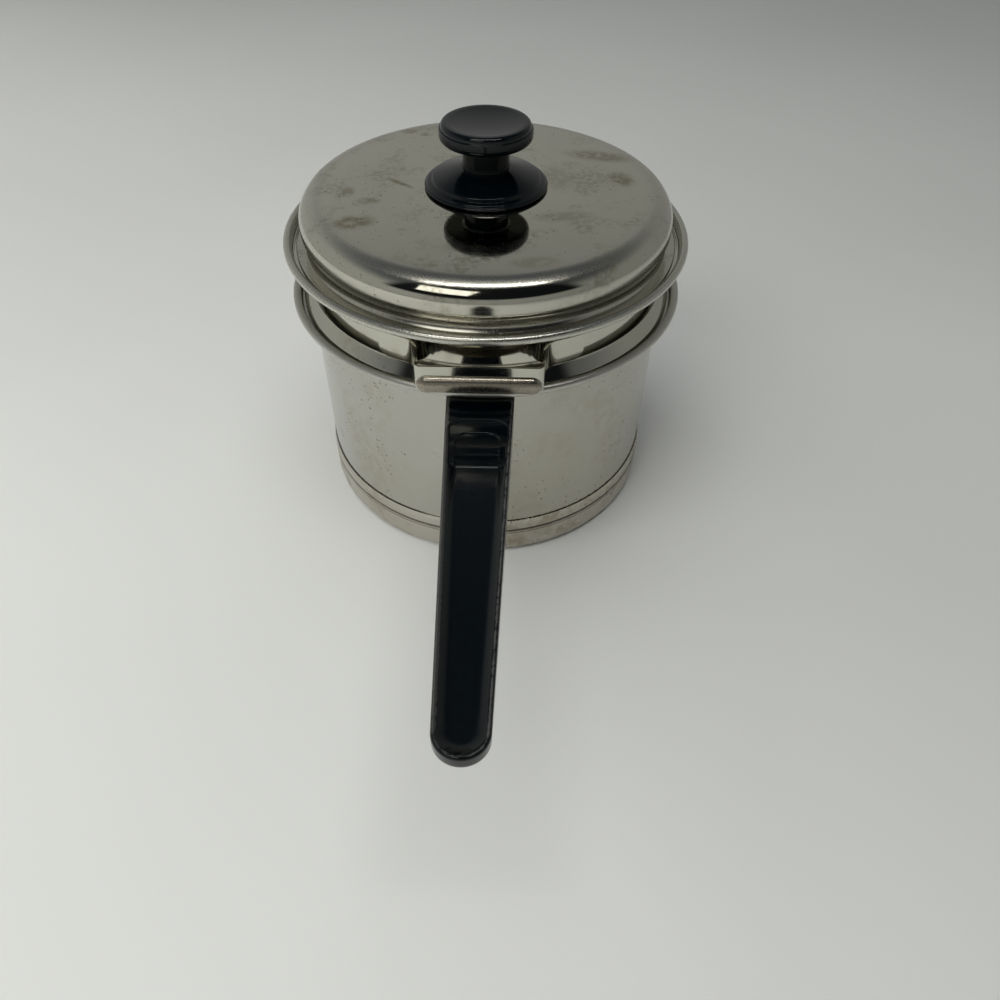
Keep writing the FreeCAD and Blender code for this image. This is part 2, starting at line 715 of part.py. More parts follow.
def make_grip():
    body = new_body("handle_grip")
    pad(body, outline(body, "grip_plan", "XY_Plane", grip_plan("(-cut_overrun)", "0", "0", "0"), "grip_top"),
        "grip_depth", down=True)
    # The underside rises from the block at the pan to the thin far end
    slope_start = "-(wall_radius + grip_block)"
    slope_end = "-(grip_end + cut_overrun)"
    below = "grip_bottom - cut_overrun"
    taper = outline(body, "grip_underside", "YZ_Plane", [
        (slope_start, below),
        (slope_start, "grip_bottom"),
        (slope_end, "grip_top - grip_end_depth"),
        (slope_end, below),
    ], "-grip_root_width")
    pocket(body, taper, "grip_root_width * 2", away=True)
    lowest_top = value("grip_top - grip_end_depth") + value("grip_edge")
    root = value("-wall_radius")
    fillet(body, "grip_lower_edges", "grip_round",
           lambda box: box.ZMax < lowest_top and box.YMin < root and box.YLength > value("grip_round"))
    fillet(body, "grip_upper_edges", "grip_edge",
           lambda box: box.ZLength < value("thread_gap") and box.ZMin > lowest_top and box.YMin < root
           and box.YLength > value("grip_round"))
    # The thumb rest goes down in steps to the trough
    inner = "rim_width + second_inset"
    lower = "rest_depth + second_depth"
    for name, start, inset, round_size, depth in (
            ("grip_rest", "rest_start", "rim_width", "rest_round", "rest_depth"),
            ("grip_second", "second_start", inner, "second_round", lower),
            ("grip_third", "third_start", inner, "0", f"{lower} + third_depth")):
        plan = outline(body, name, "XY_Plane", grip_plan(start, inset, inset, round_size), "grip_top")
        pocket(body, plan, depth)
    make_trough(body)
    make_root(body)
    return body


def make_trough(body):
    """The long trough narrows on the way down, most at its far end."""
    mouth = outline(body, "trough_mouth", "XY_Plane",
                    grip_plan("trough_start", "rim_width", "rim_width", "trough_round"), "grip_top")
    narrowed = grip_plan("trough_start", "rim_width + trough_slope", "rim_width + trough_end_slope",
                         "trough_round")
    floor = outline(body, "trough_floor", "XY_Plane", narrowed, "grip_top - trough_depth")
    doc.recompute()
    before = body.Shape.Volume
    trough = body.newObject("PartDesign::SubtractiveLoft", "trough")
    trough.Profile = mouth
    trough.Sections = [floor]
    trough.Ruled = True
    doc.recompute()
    if not body.Shape.Volume < before:
        raise RuntimeError("the trough cuts nothing")


def make_root(body):
    """The end at the pan follows the wall, and takes the bracket, its tongue and the screw from below."""
    wall = circle(body, "grip_wall", "0", "0", "wall_radius + grip_gap", "grip_top + cut_overrun")
    pocket(body, wall, "grip_depth + cut_overrun * 2")
    half = "(bracket_width / 2 + socket_gap)"
    recess = "(bracket_outside + socket_gap)"
    plate = outline(body, "grip_plate_recess", "XY_Plane", [
        (f"-{half}", "-(wall_radius - cut_overrun)"),
        (f"-{half}", f"-sqrt({recess} ^ 2 - {half} ^ 2)", recess, 1),
        (half, f"-sqrt({recess} ^ 2 - {half} ^ 2)"),
        (half, "-(wall_radius - cut_overrun)"),
    ], "bracket_middle + bracket_height / 2 + socket_gap")
    pocket(body, plate, "bracket_height + socket_gap * 2")
    side = "(tongue_width / 2 + socket_gap)"
    socket = outline(body, "grip_socket", "XY_Plane", [
        (f"-{side}", "-(wall_radius - cut_overrun)"),
        (f"-{side}", "-(tongue_end + socket_gap)"),
        (side, "-(tongue_end + socket_gap)"),
        (side, "-(wall_radius - cut_overrun)"),
    ], "tongue_bottom + tongue_height + socket_gap")
    pocket(body, socket, "tongue_height + socket_gap * 2")
    low = "grip_bottom - cut_overrun"
    hole = circle(body, "grip_screw_hole", "0", "-handle_screw_place", "screw_hole", low)
    pocket(body, hole, f"tongue_bottom - ({low})", away=True)
    head = circle(body, "grip_head_recess", "0", "-handle_screw_place", "washer_radius + socket_gap", low)
    pocket(body, head, f"handle_screw_seat - ({low})", away=True)


knob_screw = make_screw("knob_screw", "washer_sheet + steel_sheet + skirt_height + knob_thread")
place(knob_screw, "0", "lid_underside - washer_sheet")
knob_washer = make_washer("knob_washer")
place(knob_washer, "0", "lid_underside")
handle_screw = make_screw("handle_screw", "washer_sheet + screw_web + socket_gap + tongue_height")
place(handle_screw, "-handle_screw_place", "handle_screw_seat - washer_sheet")
handle_washer = make_washer("handle_washer")
place(handle_washer, "-handle_screw_place", "handle_screw_seat")

pieces = [
    make_pan_shell(),
    make_base_cup(),
    make_core_disc(),
    make_bracket(),
    make_grip(),
    handle_screw,
    handle_washer,
    make_insert_shell(),
    make_ear("front_ear", 0),
    make_ear("rear_ear", 180),
    make_lid_shell(),
    make_knob_skirt(),
    make_knob_cap(),
    make_knob_bush(),
    knob_screw,
    knob_washer,
]
doc.recompute()

for item in doc.Objects:
    if "Invalid" in item.State or "Error" in item.State:
        raise RuntimeError(f"{item.Label} failed: {item.State}")
for piece in pieces:
    if piece.Shape.isNull() or not piece.Shape.isValid() or len(piece.Shape.Solids) != 1:
        raise RuntimeError(f"{piece.Label} is not one valid solid")

os.makedirs("parts", exist_ok=True)
for piece in pieces:
    piece.Shape.exportStep(f"parts/{piece.Label}.step")
    box = piece.Shape.BoundBox
    print(f"{piece.Label}: {piece.Shape.Volume / 1000:.2f} cm3, z {box.ZMin:.2f} to {box.ZMax:.2f}")
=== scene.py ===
import bmesh
import bpy
import numpy as np
from mathutils import Matrix, Vector


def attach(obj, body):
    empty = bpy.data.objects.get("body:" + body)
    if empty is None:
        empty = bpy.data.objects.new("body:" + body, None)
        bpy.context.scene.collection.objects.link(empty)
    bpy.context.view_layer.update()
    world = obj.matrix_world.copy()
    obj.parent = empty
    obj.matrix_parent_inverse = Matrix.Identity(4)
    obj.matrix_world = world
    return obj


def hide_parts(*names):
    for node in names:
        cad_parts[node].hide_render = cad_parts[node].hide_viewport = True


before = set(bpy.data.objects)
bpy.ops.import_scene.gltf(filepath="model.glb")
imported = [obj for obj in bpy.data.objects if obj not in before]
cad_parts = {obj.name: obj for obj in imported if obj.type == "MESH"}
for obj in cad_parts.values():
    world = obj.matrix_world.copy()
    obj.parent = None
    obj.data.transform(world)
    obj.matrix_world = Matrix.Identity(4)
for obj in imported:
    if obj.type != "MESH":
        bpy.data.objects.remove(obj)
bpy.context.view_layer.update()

# A stovetop double boiler, dressed over its CAD frame. Piece values are in millimetres.
mm = 0.001


# A line through corners (across, up, bend): straight runs joined by arcs of each corner's bend radius.
# Points gather at the ends of every run, so that flats stay flat beside their arcs.
def bentLine(corners, run=4.0, step=7.0, ease=0.1):
    points = np.array([corner[:2] for corner in corners], float)
    arcs = []
    for index, here in enumerate(points):
        bend = corners[index][2] if len(corners[index]) > 2 else 0
        if bend == 0:
            arcs.append(here[None])
            continue
        back = points[index - 1] - here
        ahead = points[index + 1] - here
        back /= np.linalg.norm(back)
        ahead /= np.linalg.norm(ahead)
        turn = np.arccos(np.clip(-back @ ahead, -1, 1))
        middle = here + (back + ahead) / np.linalg.norm(back + ahead) * bend / np.cos(turn / 2)
        begin = here + back * bend * np.tan(turn / 2) - middle
        side = np.sign(ahead[0] * back[1] - ahead[1] * back[0])
        count = max(3, int(np.degrees(turn) / step) + 1)
        angle = np.arctan2(begin[1], begin[0]) + side * np.linspace(0, turn, count + 1)
        arcs.append(middle + bend * np.stack([np.cos(angle), np.sin(angle)], 1))
    line = [arcs[0]]
    for before, after in zip(arcs, arcs[1:]):
        start, end = before[-1], after[0]
        length = np.linalg.norm(end - start)
        if length > ease * 4:
            share = np.linspace(ease / length, 1 - ease / length, max(2, int(length / run) + 2))
            line.append(start + share[:, None] * (end - start))
        line.append(after)
    line = np.concatenate(line)
    fresh = np.linalg.norm(np.diff(line, axis=0), axis=1) > 1e-6
    return line[np.concatenate([[True], fresh])]


# Both faces of a bent sheet: its middle line moved half the thickness to either side, with a round far end.
def sheetLine(corners, thick, **grain):
    line = bentLine(corners, **grain)
    along = np.gradient(line, axis=0)
    steps = np.diff(line, axis=0)
    along[1:-1] = (steps[1:] / np.linalg.norm(steps[1:], axis=1)[:, None]
                   + steps[:-1] / np.linalg.norm(steps[:-1], axis=1)[:, None])
    along /= np.linalg.norm(along, axis=1)[:, None]
    across = np.stack([along[:, 1], -along[:, 0]], 1) * thick / 2
    tip = line[-1] + along[-1] * thick / 2 * np.array([[0.7], [1.0], [0.7]])
    tip = tip + across[-1] * np.array([[0.7], [0.0], [-0.7]])
    return np.concatenate([line + across, tip, (line - across)[::-1]])


# The quads of a grid of points, by point number; closing flags join its last row or column to the first.
def gridQuads(rows, columns, closeRows=False, closeColumns=False):
    row = np.arange(rows if closeRows else rows - 1)[:, None]
    column = np.arange(columns if closeColumns else columns - 1)[None, :]
    nextRow = (row + 1) % rows
    nextColumn = (column + 1) % columns
    corners = [row * columns + column, nextRow * columns + column,
               nextRow * columns + nextColumn, row * columns + nextColumn]
    return np.stack([corner.ravel() for corner in corners], 1)


# Lays a list of points and quads into a new piece, with any marks as point attributes.
def newPiece(name, points, quads, marks=None):
    mesh = bpy.data.meshes.new(name)
    mesh.vertices.add(len(points))
    mesh.vertices.foreach_set("co", (points * mm).astype(np.float32).ravel())
    mesh.loops.add(quads.size)
    mesh.loops.foreach_set("vertex_index", quads.astype(np.int32).ravel())
    mesh.polygons.add(len(quads))
    mesh.polygons.foreach_set("loop_start", np.arange(0, quads.size, 4, dtype=np.int32))
    mesh.update(calc_edges=True)
    for mark, values in (marks or {}).items():
        data = mesh.attributes.new(mark, "FLOAT", "POINT").data
        data.foreach_set("value", values.astype(np.float32).ravel())
    mesh.shade_smooth()
    piece = bpy.data.objects.new(name, mesh)
    bpy.context.scene.collection.objects.link(piece)
    return piece


# A closed piece: poles and seams are merged, open ends filled, and faces turned outwards.
def meshPiece(name, points, quads, marks=None, merge=0.002):
    piece = newPiece(name, points, quads, marks)
    work = bmesh.new()
    work.from_mesh(piece.data)
    bmesh.ops.remove_doubles(work, verts=work.verts, dist=merge * mm)
    rims = [edge for edge in work.edges if edge.is_boundary]
    if rims:
        made = bmesh.ops.holes_fill(work, edges=rims)["faces"]
        bmesh.ops.triangulate(work, faces=made)
    bmesh.ops.recalc_face_normals(work, faces=work.faces)
    work.to_mesh(piece.data)
    work.free()
    piece.data.shade_smooth()
    return piece


# A closed section (radius, height) carried round the Z axis.
def lathe(name, section, around=288, marks=None):
    angle = np.linspace(0, 2 * np.pi, around, endpoint=False)[:, None]
    radius, height = section[:, 0][None], section[:, 1][None]
    points = np.stack([radius * np.cos(angle), radius * np.sin(angle), height + 0 * angle], -1)
    spread = {mark: np.broadcast_to(values, (around, len(section)))
              for mark, values in (marks or {}).items()}
    quads = gridQuads(around, len(section), closeRows=True, closeColumns=True)
    return meshPiece(name, points.reshape(-1, 3), quads, spread)


# How strongly a section bends outwards at each point: 1 on tight outer edges, 0 on flats and hollows.
def edgeMark(section, full=0.6, reach=0.8):
    ahead = np.roll(section, -1, 0) - section
    back = section - np.roll(section, 1, 0)
    length = np.linalg.norm(ahead, axis=1) + np.linalg.norm(back, axis=1) + 1e-9
    turn = np.arctan2(back[:, 0] * ahead[:, 1] - back[:, 1] * ahead[:, 0], (back * ahead).sum(1))
    area = (section[:, 0] * np.roll(section[:, 1], -1) - np.roll(section[:, 0], -1) * section[:, 1]).sum()
    bend = np.clip(turn * np.sign(area) * 2 / length * full, 0, 1)
    far = np.linalg.norm(section[:, None] - section[None], axis=2)
    return (bend[None] * np.exp(-(far / reach) ** 2)).max(1)


# 0 up to low, 1 from high on, and between them three squares of the share less two cubes.
def smooth(value, low, high):
    share = np.clip((value - low) / (high - low), 0, 1)
    return share * share * (3 - 2 * share)


# 1 within the full distance of one place on a section, easing to 0 at the fade distance.
def nearMark(section, place, full, fade):
    return 1 - smooth(np.linalg.norm(section - np.array(place), axis=1), full, fade)


# An output is linked to the socket; a colour, vector or number is set on it.
def feed(tree, socket, value):
    if isinstance(value, bpy.types.NodeSocket):
        tree.links.new(value, socket)
    elif socket.type == "RGBA":
        socket.default_value = (*value, 1.0)
    else:
        socket.default_value = value


# Adds one shader node with its settings and feeds its inputs, each named by its title or number.
def addNode(tree, kind, inputs, **settings):
    node = tree.nodes.new("ShaderNode" + kind)
    for name, setting in settings.items():
        setattr(node, name, setting)
    for title, value in inputs.items():
        feed(tree, node.inputs[title], value)
    return node


def maths(tree, operation, *values):
    return addNode(tree, "Math", dict(enumerate(values)), operation=operation).outputs[0]


# A soft step from start to end while the value goes from low to high.
def ranged(tree, value, low, high, start=0.0, end=1.0):
    limits = {"Value": value, "From Min": low, "From Max": high, "To Min": start, "To Max": end}
    return addNode(tree, "MapRange", limits, interpolation_type="SMOOTHSTEP").outputs["Result"]


# 0 below a level, 1 from a fade above it.
def risen(tree, value, level, fade):
    return ranged(tree, value, level, maths(tree, "ADD", level, fade))


def noise(tree, vector, scale, detail=3.0, rough=0.5):
    grain = {"Vector": vector, "Scale": scale, "Detail": detail, "Roughness": rough}
    return addNode(tree, "TexNoise", grain).outputs["Fac"]


# Inputs 6 and 7 and output 2 of the Mix node are its colours.
def mixed(tree, share, first, second):
    return addNode(tree, "Mix", {6: first, 7: second, 0: share}, data_type="RGBA").outputs[2]


def highest(tree, values):
    total = values[0]
    for value in values[1:]:
        total = maths(tree, "MAXIMUM", total, value)
    return total


# A start plus each value times its amount.
def summed(tree, start, *pairs):
    for value, amount in pairs:
        start = maths(tree, "MULTIPLY_ADD", value, amount, start)
    return start


def splitVector(tree, vector):
    node = addNode(tree, "SeparateXYZ", {0: vector})
    return [node.outputs[axis] for axis in "XYZ"]


def vectorLength(tree, vector):
    return addNode(tree, "VectorMath", {0: vector}, operation="LENGTH").outputs["Value"]


# Root of the sum of two squares.
def planeLength(tree, first, second):
    squared = [maths(tree, "MULTIPLY", side, side) for side in (first, second)]
    return maths(tree, "SQRT", maths(tree, "ADD", *squared))


def objectPlace(tree):
    return addNode(tree, "TexCoord", {}).outputs["Object"]


def newMaterial(name):
    material = bpy.data.materials.new(name)
    material.use_nodes = True
    tree = material.node_tree
    tree.nodes.clear()
    shader = addNode(tree, "BsdfPrincipled", {})
    addNode(tree, "OutputMaterial", {"Surface": shader.outputs["BSDF"]})
    return material, tree, shader


# A node group: each input has a start value, or none where it is a vector, and each output has its kind.
def newGroup(name, inputs, outputs):
    tree = bpy.data.node_groups.new(name, "ShaderNodeTree")
    for title, start in inputs.items():
        kind = "NodeSocketVector" if start is None else "NodeSocketFloat"
        socket = tree.interface.new_socket(title, in_out="INPUT", socket_type=kind)
        if start is not None:
            socket.default_value = start
    for title, kind in outputs.items():
        tree.interface.new_socket(title, in_out="OUTPUT", socket_type="NodeSocket" + kind)
    return tree, tree.nodes.new("NodeGroupInput").outputs, tree.nodes.new("NodeGroupOutput").inputs


# Radius from the Z axis and height, as a vector: a pattern on it runs round the piece like turning marks.
def makeTurned():
    tree, given, result = newGroup("turnedCoordinates", {"Vector": None}, {"Vector": "Vector"})
    right, ahead, up = splitVector(tree, given["Vector"])
    join = addNode(tree, "CombineXYZ", {"X": planeLength(tree, right, ahead), "Z": up})
    feed(tree, result["Vector"], join.outputs[0])
    return tree


stainValues = {
    "patchFade": 0.16, "grainFiner": 7.0, "grain": (0.36, 0.62),
    "sizePower": 6.0, "speckFade": 0.06, "crowdScale": 26.0, "crowdFade": 0.1,
}


# Dried water: soft grainy patches, and small specks that gather where a broad noise is high.
def makeStains(values):
    tree, given, result = newGroup(
        "waterStains",
        {"Vector": None, "Patch Scale": 38.0, "Patch Level": 0.56, "Speck Scale": 900.0, "Speck Level": 0.4,
         "Cluster Level": 0.52},
        {"Patches": "Float", "Specks": "Float"})
    vector = given["Vector"]
    broad = noise(tree, vector, given["Patch Scale"], 4.0, 0.55)
    patch = risen(tree, broad, given["Patch Level"], values["patchFade"])
    finer = maths(tree, "MULTIPLY", given["Patch Scale"], values["grainFiner"])
    grain = ranged(tree, noise(tree, vector, finer, 5.0, 0.6), *values["grain"])
    feed(tree, result["Patches"], maths(tree, "MULTIPLY", patch, grain))
    dots = addNode(tree, "TexVoronoi", {"Vector": vector, "Scale": given["Speck Scale"]})
    pick = addNode(tree, "SeparateColor", {0: dots.outputs["Color"]})
    share = maths(tree, "POWER", pick.outputs[0], values["sizePower"])
    size = maths(tree, "MULTIPLY", share, given["Speck Level"])
    inside = maths(tree, "SUBTRACT", size, dots.outputs["Distance"])
    specks = ranged(tree, inside, 0.0, values["speckFade"])
    crowd = noise(tree, vector, values["crowdScale"])
    crowd = risen(tree, crowd, given["Cluster Level"], values["crowdFade"])
    feed(tree, result["Specks"], maths(tree, "MULTIPLY", specks, crowd))
    return tree


scratchValues = {"turns": ((0.3, 0.4), (1.1, 2.0), (-0.7, 1.2)), "stretch": (1.0, 26.0, 26.0), "fade": 0.1}


# Fine scratches: three thin streak fields, each turned its own way.
def makeScratches(values):
    tree, given, result = newGroup(
        "fineScratches", {"Vector": None, "Scale": 60.0, "Level": 0.66}, {"Scratches": "Float"})
    lines = []
    for turnX, turnZ in values["turns"]:
        place = addNode(tree, "Mapping", {
            "Vector": given["Vector"], "Rotation": (turnX, turnZ / 2, turnZ), "Scale": values["stretch"]})
        streak = noise(tree, place.outputs[0], given["Scale"], 2.0)
        lines.append(risen(tree, streak, given["Level"], values["fade"]))
    feed(tree, result["Scratches"], highest(tree, lines))
    return tree


# Wear and painted sheen on the outer edges: the piece's own edge attribute, broken up by noise.
def makeWearAndSheen(fade=0.14):
    tree, given, result = newGroup(
        "edgeWearAndSheen", {"Vector": None, "Edge": 0.0, "Scale": 300.0, "Level": 0.5}, {"WearAndSheen": "Float"})
    grain = noise(tree, given["Vector"], given["Scale"], 4.0, 0.65)
    exposed = maths(tree, "MULTIPLY", given["Edge"], grain)
    feed(tree, result["WearAndSheen"], risen(tree, exposed, given["Level"], fade))
    return tree


turnedGroup, wearAndSheenGroup = makeTurned(), makeWearAndSheen()
stainGroup, scratchGroup = makeStains(stainValues), makeScratches(scratchValues)


# A group's outputs on a piece: each of its inputs is named with its value.
def useGroup(tree, group, vector, inputs):
    return addNode(tree, "Group", {"Vector": vector} | inputs, node_tree=group).outputs


def bumped(tree, shader, height, strength):
    bump = addNode(tree, "Bump", {"Strength": strength, "Distance": 1.0, "Height": height})
    feed(tree, shader.inputs["Normal"], bump.outputs["Normal"])


splashValues = {
    "rim": 1.1, "middle": 0.35, "reach": 4.0, "grainScale": 330.0, "grain": (0.36, 0.56, 0.35, 1.0),
}


# Dried splashes on a level face: each an ellipse (across, along, half sizes, turn, strength) about its
# place at one height, fading from its middle to its rim and broken up by noise.
def splashed(tree, place, splashes, level, values):
    marks = []
    for across, along, wide, deep, turn, strength in splashes:
        near = addNode(tree, "Mapping", {
            "Vector": place, "Location": (across * mm, along * mm, level * mm),
            "Rotation": (0, 0, np.radians(turn)), "Scale": (wide * mm, deep * mm, values["reach"] * mm),
        }, vector_type="TEXTURE")
        far = vectorLength(tree, near.outputs[0])
        marks.append(ranged(tree, far, values["rim"], values["middle"], 0.0, strength))
    broken = ranged(tree, noise(tree, place, values["grainScale"], 5.0, 0.62), *values["grain"])
    return maths(tree, "MULTIPLY", highest(tree, marks), broken)


# Polished stainless steel: turning marks, dried water, specks and scratches roughen and tint it, and
# where the piece carries a satin mark it is rough and sparkles.
def makeSteel(name, look):
    material, tree, shader = newMaterial(name)
    place = objectPlace(tree)
    turned = useGroup(tree, turnedGroup, place, {})["Vector"]
    stains = useGroup(tree, stainGroup, place, {
        "Patch Scale": look["patchScale"], "Patch Level": look["patchLevel"],
        "Speck Scale": look["speckScale"], "Speck Level": look["speckLevel"],
        "Cluster Level": look["clusterLevel"]})
    scratches = useGroup(tree, scratchGroup, place, {
        "Scale": look["scratchScale"], "Level": look["scratchLevel"]})["Scratches"]
    marks = noise(tree, turned, look["markScale"], 3.0, 0.6)
    cloud = ranged(tree, noise(tree, place, look["cloudScale"], 4.0, 0.6), *look["cloud"])
    mark = addNode(tree, "Attribute", {}, attribute_name="satin").outputs["Fac"]
    grain = noise(tree, place, look["grainScale"], 2.0, 0.7)
    satin = maths(tree, "MULTIPLY", mark, ranged(tree, grain, *look["grain"]))
    dull = maths(tree, "MULTIPLY", stains["Patches"], look["patchAmount"])
    if look["splashes"]:
        splash = splashed(tree, place, look["splashes"], look["splashLevel"], splashValues)
        dull = highest(tree, [dull, splash])
    specks = maths(tree, "MULTIPLY", stains["Specks"], look["speckAmount"])
    colour = mixed(tree, cloud, look["clean"], look["cloudy"])
    colour = mixed(tree, dull, colour, look["stain"])
    colour = mixed(tree, specks, colour, look["speck"])
    brushed = maths(tree, "MULTIPLY", satin, look["satinAmount"])
    feed(tree, shader.inputs["Base Color"], mixed(tree, brushed, colour, look["satin"]))
    feed(tree, shader.inputs["Roughness"], summed(
        tree, look["rough"], (marks, look["markRough"]), (dull, look["stainRough"]),
        (specks, look["speckRough"]), (scratches, look["scratchRough"]), (satin, look["satinRough"])))
    shader.inputs["Metallic"].default_value = 1.0
    wave = maths(tree, "MULTIPLY", noise(tree, place, look["waveScale"], 2.0, 0.4), look["waveHeight"])
    height = summed(tree, wave, (marks, look["markHeight"]), (scratches, -look["scratchHeight"]))
    bumped(tree, shader, height, look["bump"])
    return material


steelLook = {
    "clean": (0.59, 0.58, 0.505), "cloudy": (0.545, 0.535, 0.46), "cloudScale": 14.0, "cloud": (0.3, 0.7),
    "stain": (0.37, 0.33, 0.24), "patchScale": 34.0, "patchLevel": 0.56, "patchAmount": 0.5,
    "speck": (0.14, 0.115, 0.08), "speckScale": 900.0, "speckLevel": 0.42, "speckAmount": 0.7,
    "clusterLevel": 0.54, "speckRough": 0.3, "stainRough": 0.12,
    "scratchScale": 46.0, "scratchLevel": 0.68, "scratchRough": 0.05, "scratchHeight": 0.0000004,
    "markScale": 900.0, "markRough": 0.03, "markHeight": 0.0000003, "rough": 0.035,
    "waveScale": 22.0, "waveHeight": 0.000012, "bump": 1.0,
    "satin": (0.6, 0.59, 0.55), "satinAmount": 0.6, "satinRough": 0.24, "grainScale": 2600.0,
    "grain": (0.3, 0.65, 0.6, 1.0),
    "splashes": [], "splashLevel": 145.2,
}
lidSteel = makeSteel("lidSteel", steelLook | {
    "stain": (0.28, 0.245, 0.165), "satin": (0.52, 0.5, 0.45), "patchScale": 60.0, "patchLevel": 0.5,
    "speckScale": 760.0, "speckLevel": 0.44, "speckAmount": 0.5, "clusterLevel": 0.42,
    "splashes": [
        (50, 32, 18, 7, -8, 0.8), (58, 9, 7, 9, 20, 0.9), (-52, -34, 11, 7, 10, 0.9),
        (-48, -16, 6, 4, 0, 0.7), (-37, 0.5, 10, 1.6, -38, 1.0), (-38, 57, 5, 4, 20, 0.9),
        (-30, 53, 4, 3, 0, 0.8), (30, 8, 9, 15, 10, 0.45), (32, -27, 15, 5, 8, 0.5),
        (-58, -8, 4, 6, 0, 0.7), (0, -52, 20, 7, 0, 0.4), (20, -62, 12, 5, 10, 0.4),
    ],
})
wallSteel = makeSteel("wallSteel", steelLook | {
    "clean": (0.495, 0.49, 0.455), "cloudy": (0.47, 0.45, 0.385), "cloudScale": 9.0,
    "stain": (0.4, 0.365, 0.28), "patchScale": 30.0, "patchLevel": 0.5, "patchAmount": 0.42,
    "speckScale": 760.0, "speckLevel": 0.48, "speckAmount": 0.5, "clusterLevel": 0.46,
    "rough": 0.12, "markRough": 0.08,
})
insertSteel = makeSteel("insertSteel", steelLook | {"rough": 0.06, "patchAmount": 0.4})
# the lip's dark brown satin is partly a real tint and partly painted shade standing in for its dark
# reflection
earSteelShadedLip = makeSteel("earSteelShadedLip", steelLook | {
    "rough": 0.09, "markScale": 300.0, "satin": (0.27, 0.235, 0.185), "satinAmount": 0.95, "satinRough": 0.2,
})
fixingSteel = makeSteel("fixingSteel", steelLook | {
    "rough": 0.26, "clean": (0.6, 0.6, 0.6), "cloudy": (0.5, 0.5, 0.51),
})
coreAluminium = makeSteel("coreAluminium", steelLook | {
    "rough": 0.35, "clean": (0.77, 0.77, 0.78), "cloudy": (0.7, 0.7, 0.71), "patchAmount": 0.15,
})
bushBrass = makeSteel("bushBrass", steelLook | {
    "rough": 0.22, "clean": (0.76, 0.6, 0.3), "cloudy": (0.66, 0.5, 0.24), "stain": (0.34, 0.22, 0.08),
})


baseLook = {
    "clean": (0.56, 0.535, 0.475), "cloudy": (0.5, 0.47, 0.4), "cloudScale": 12.0, "cloud": (0.3, 0.7),
    "stain": (0.3, 0.25, 0.17), "stainAmount": 0.7, "stainRough": 0.15,
    "patchScale": 30.0, "patchLevel": 0.46, "speckScale": 360.0, "speckLevel": 0.5,
    "rough": 0.17, "markScale": 700.0, "markRough": 0.12,
    "soot": (0.06, 0.045, 0.03), "sootAmount": 0.85, "sootRough": 0.35, "sootMetal": 0.6,
    # each line of residue: height and width
    "residue": [(14.5, 1.25), (12.9, 0.4)], "raggedScale": 260.0, "leastWidth": 0.3,
    "lineEdge": (1.0, 0.4), "raggedHeight": 0.00002, "markHeight": 0.000001, "bump": 0.5,
}


# The base cup's duller steel, with burnt residue in and below its groove: soot lies where the distance
# from a line's height is less than the line's width, which noise makes ragged.
def makeBaseSteel(look):
    material, tree, shader = newMaterial("baseSteel")
    place = objectPlace(tree)
    turned = useGroup(tree, turnedGroup, place, {})["Vector"]
    stains = useGroup(tree, stainGroup, place, {
        "Patch Scale": look["patchScale"], "Patch Level": look["patchLevel"],
        "Speck Scale": look["speckScale"], "Speck Level": look["speckLevel"]})
    marks = noise(tree, turned, look["markScale"], 3.0, 0.6)
    height = splitVector(tree, place)[2]
    ragged = noise(tree, place, look["raggedScale"], 4.0, 0.7)
    bands = []
    for level, width in look["residue"]:
        far = maths(tree, "ABSOLUTE", maths(tree, "SUBTRACT", height, level * mm))
        spread = summed(tree, width * mm * look["leastWidth"], (ragged, width * mm))
        bands.append(ranged(tree, maths(tree, "DIVIDE", far, spread), *look["lineEdge"]))
    soot = highest(tree, bands)
    cloud = ranged(tree, noise(tree, place, look["cloudScale"], 4.0, 0.6), *look["cloud"])
    colour = mixed(tree, cloud, look["clean"], look["cloudy"])
    for mask, amount, tint in ((stains["Patches"], look["stainAmount"], look["stain"]),
                               (stains["Specks"], look["stainAmount"], look["soot"]),
                               (soot, look["sootAmount"], look["soot"])):
        colour = mixed(tree, maths(tree, "MULTIPLY", mask, amount), colour, tint)
    feed(tree, shader.inputs["Base Color"], colour)
    feed(tree, shader.inputs["Roughness"], summed(
        tree, look["rough"], (marks, look["markRough"]), (stains["Patches"], look["stainRough"]),
        (soot, look["sootRough"])))
    feed(tree, shader.inputs["Metallic"], summed(tree, 1.0, (soot, -look["sootMetal"])))
    fine = maths(tree, "MULTIPLY", marks, look["markHeight"])
    bumped(tree, shader, summed(tree, fine, (ragged, look["raggedHeight"])), look["bump"])
    return material


baseSteel = makeBaseSteel(baseLook)


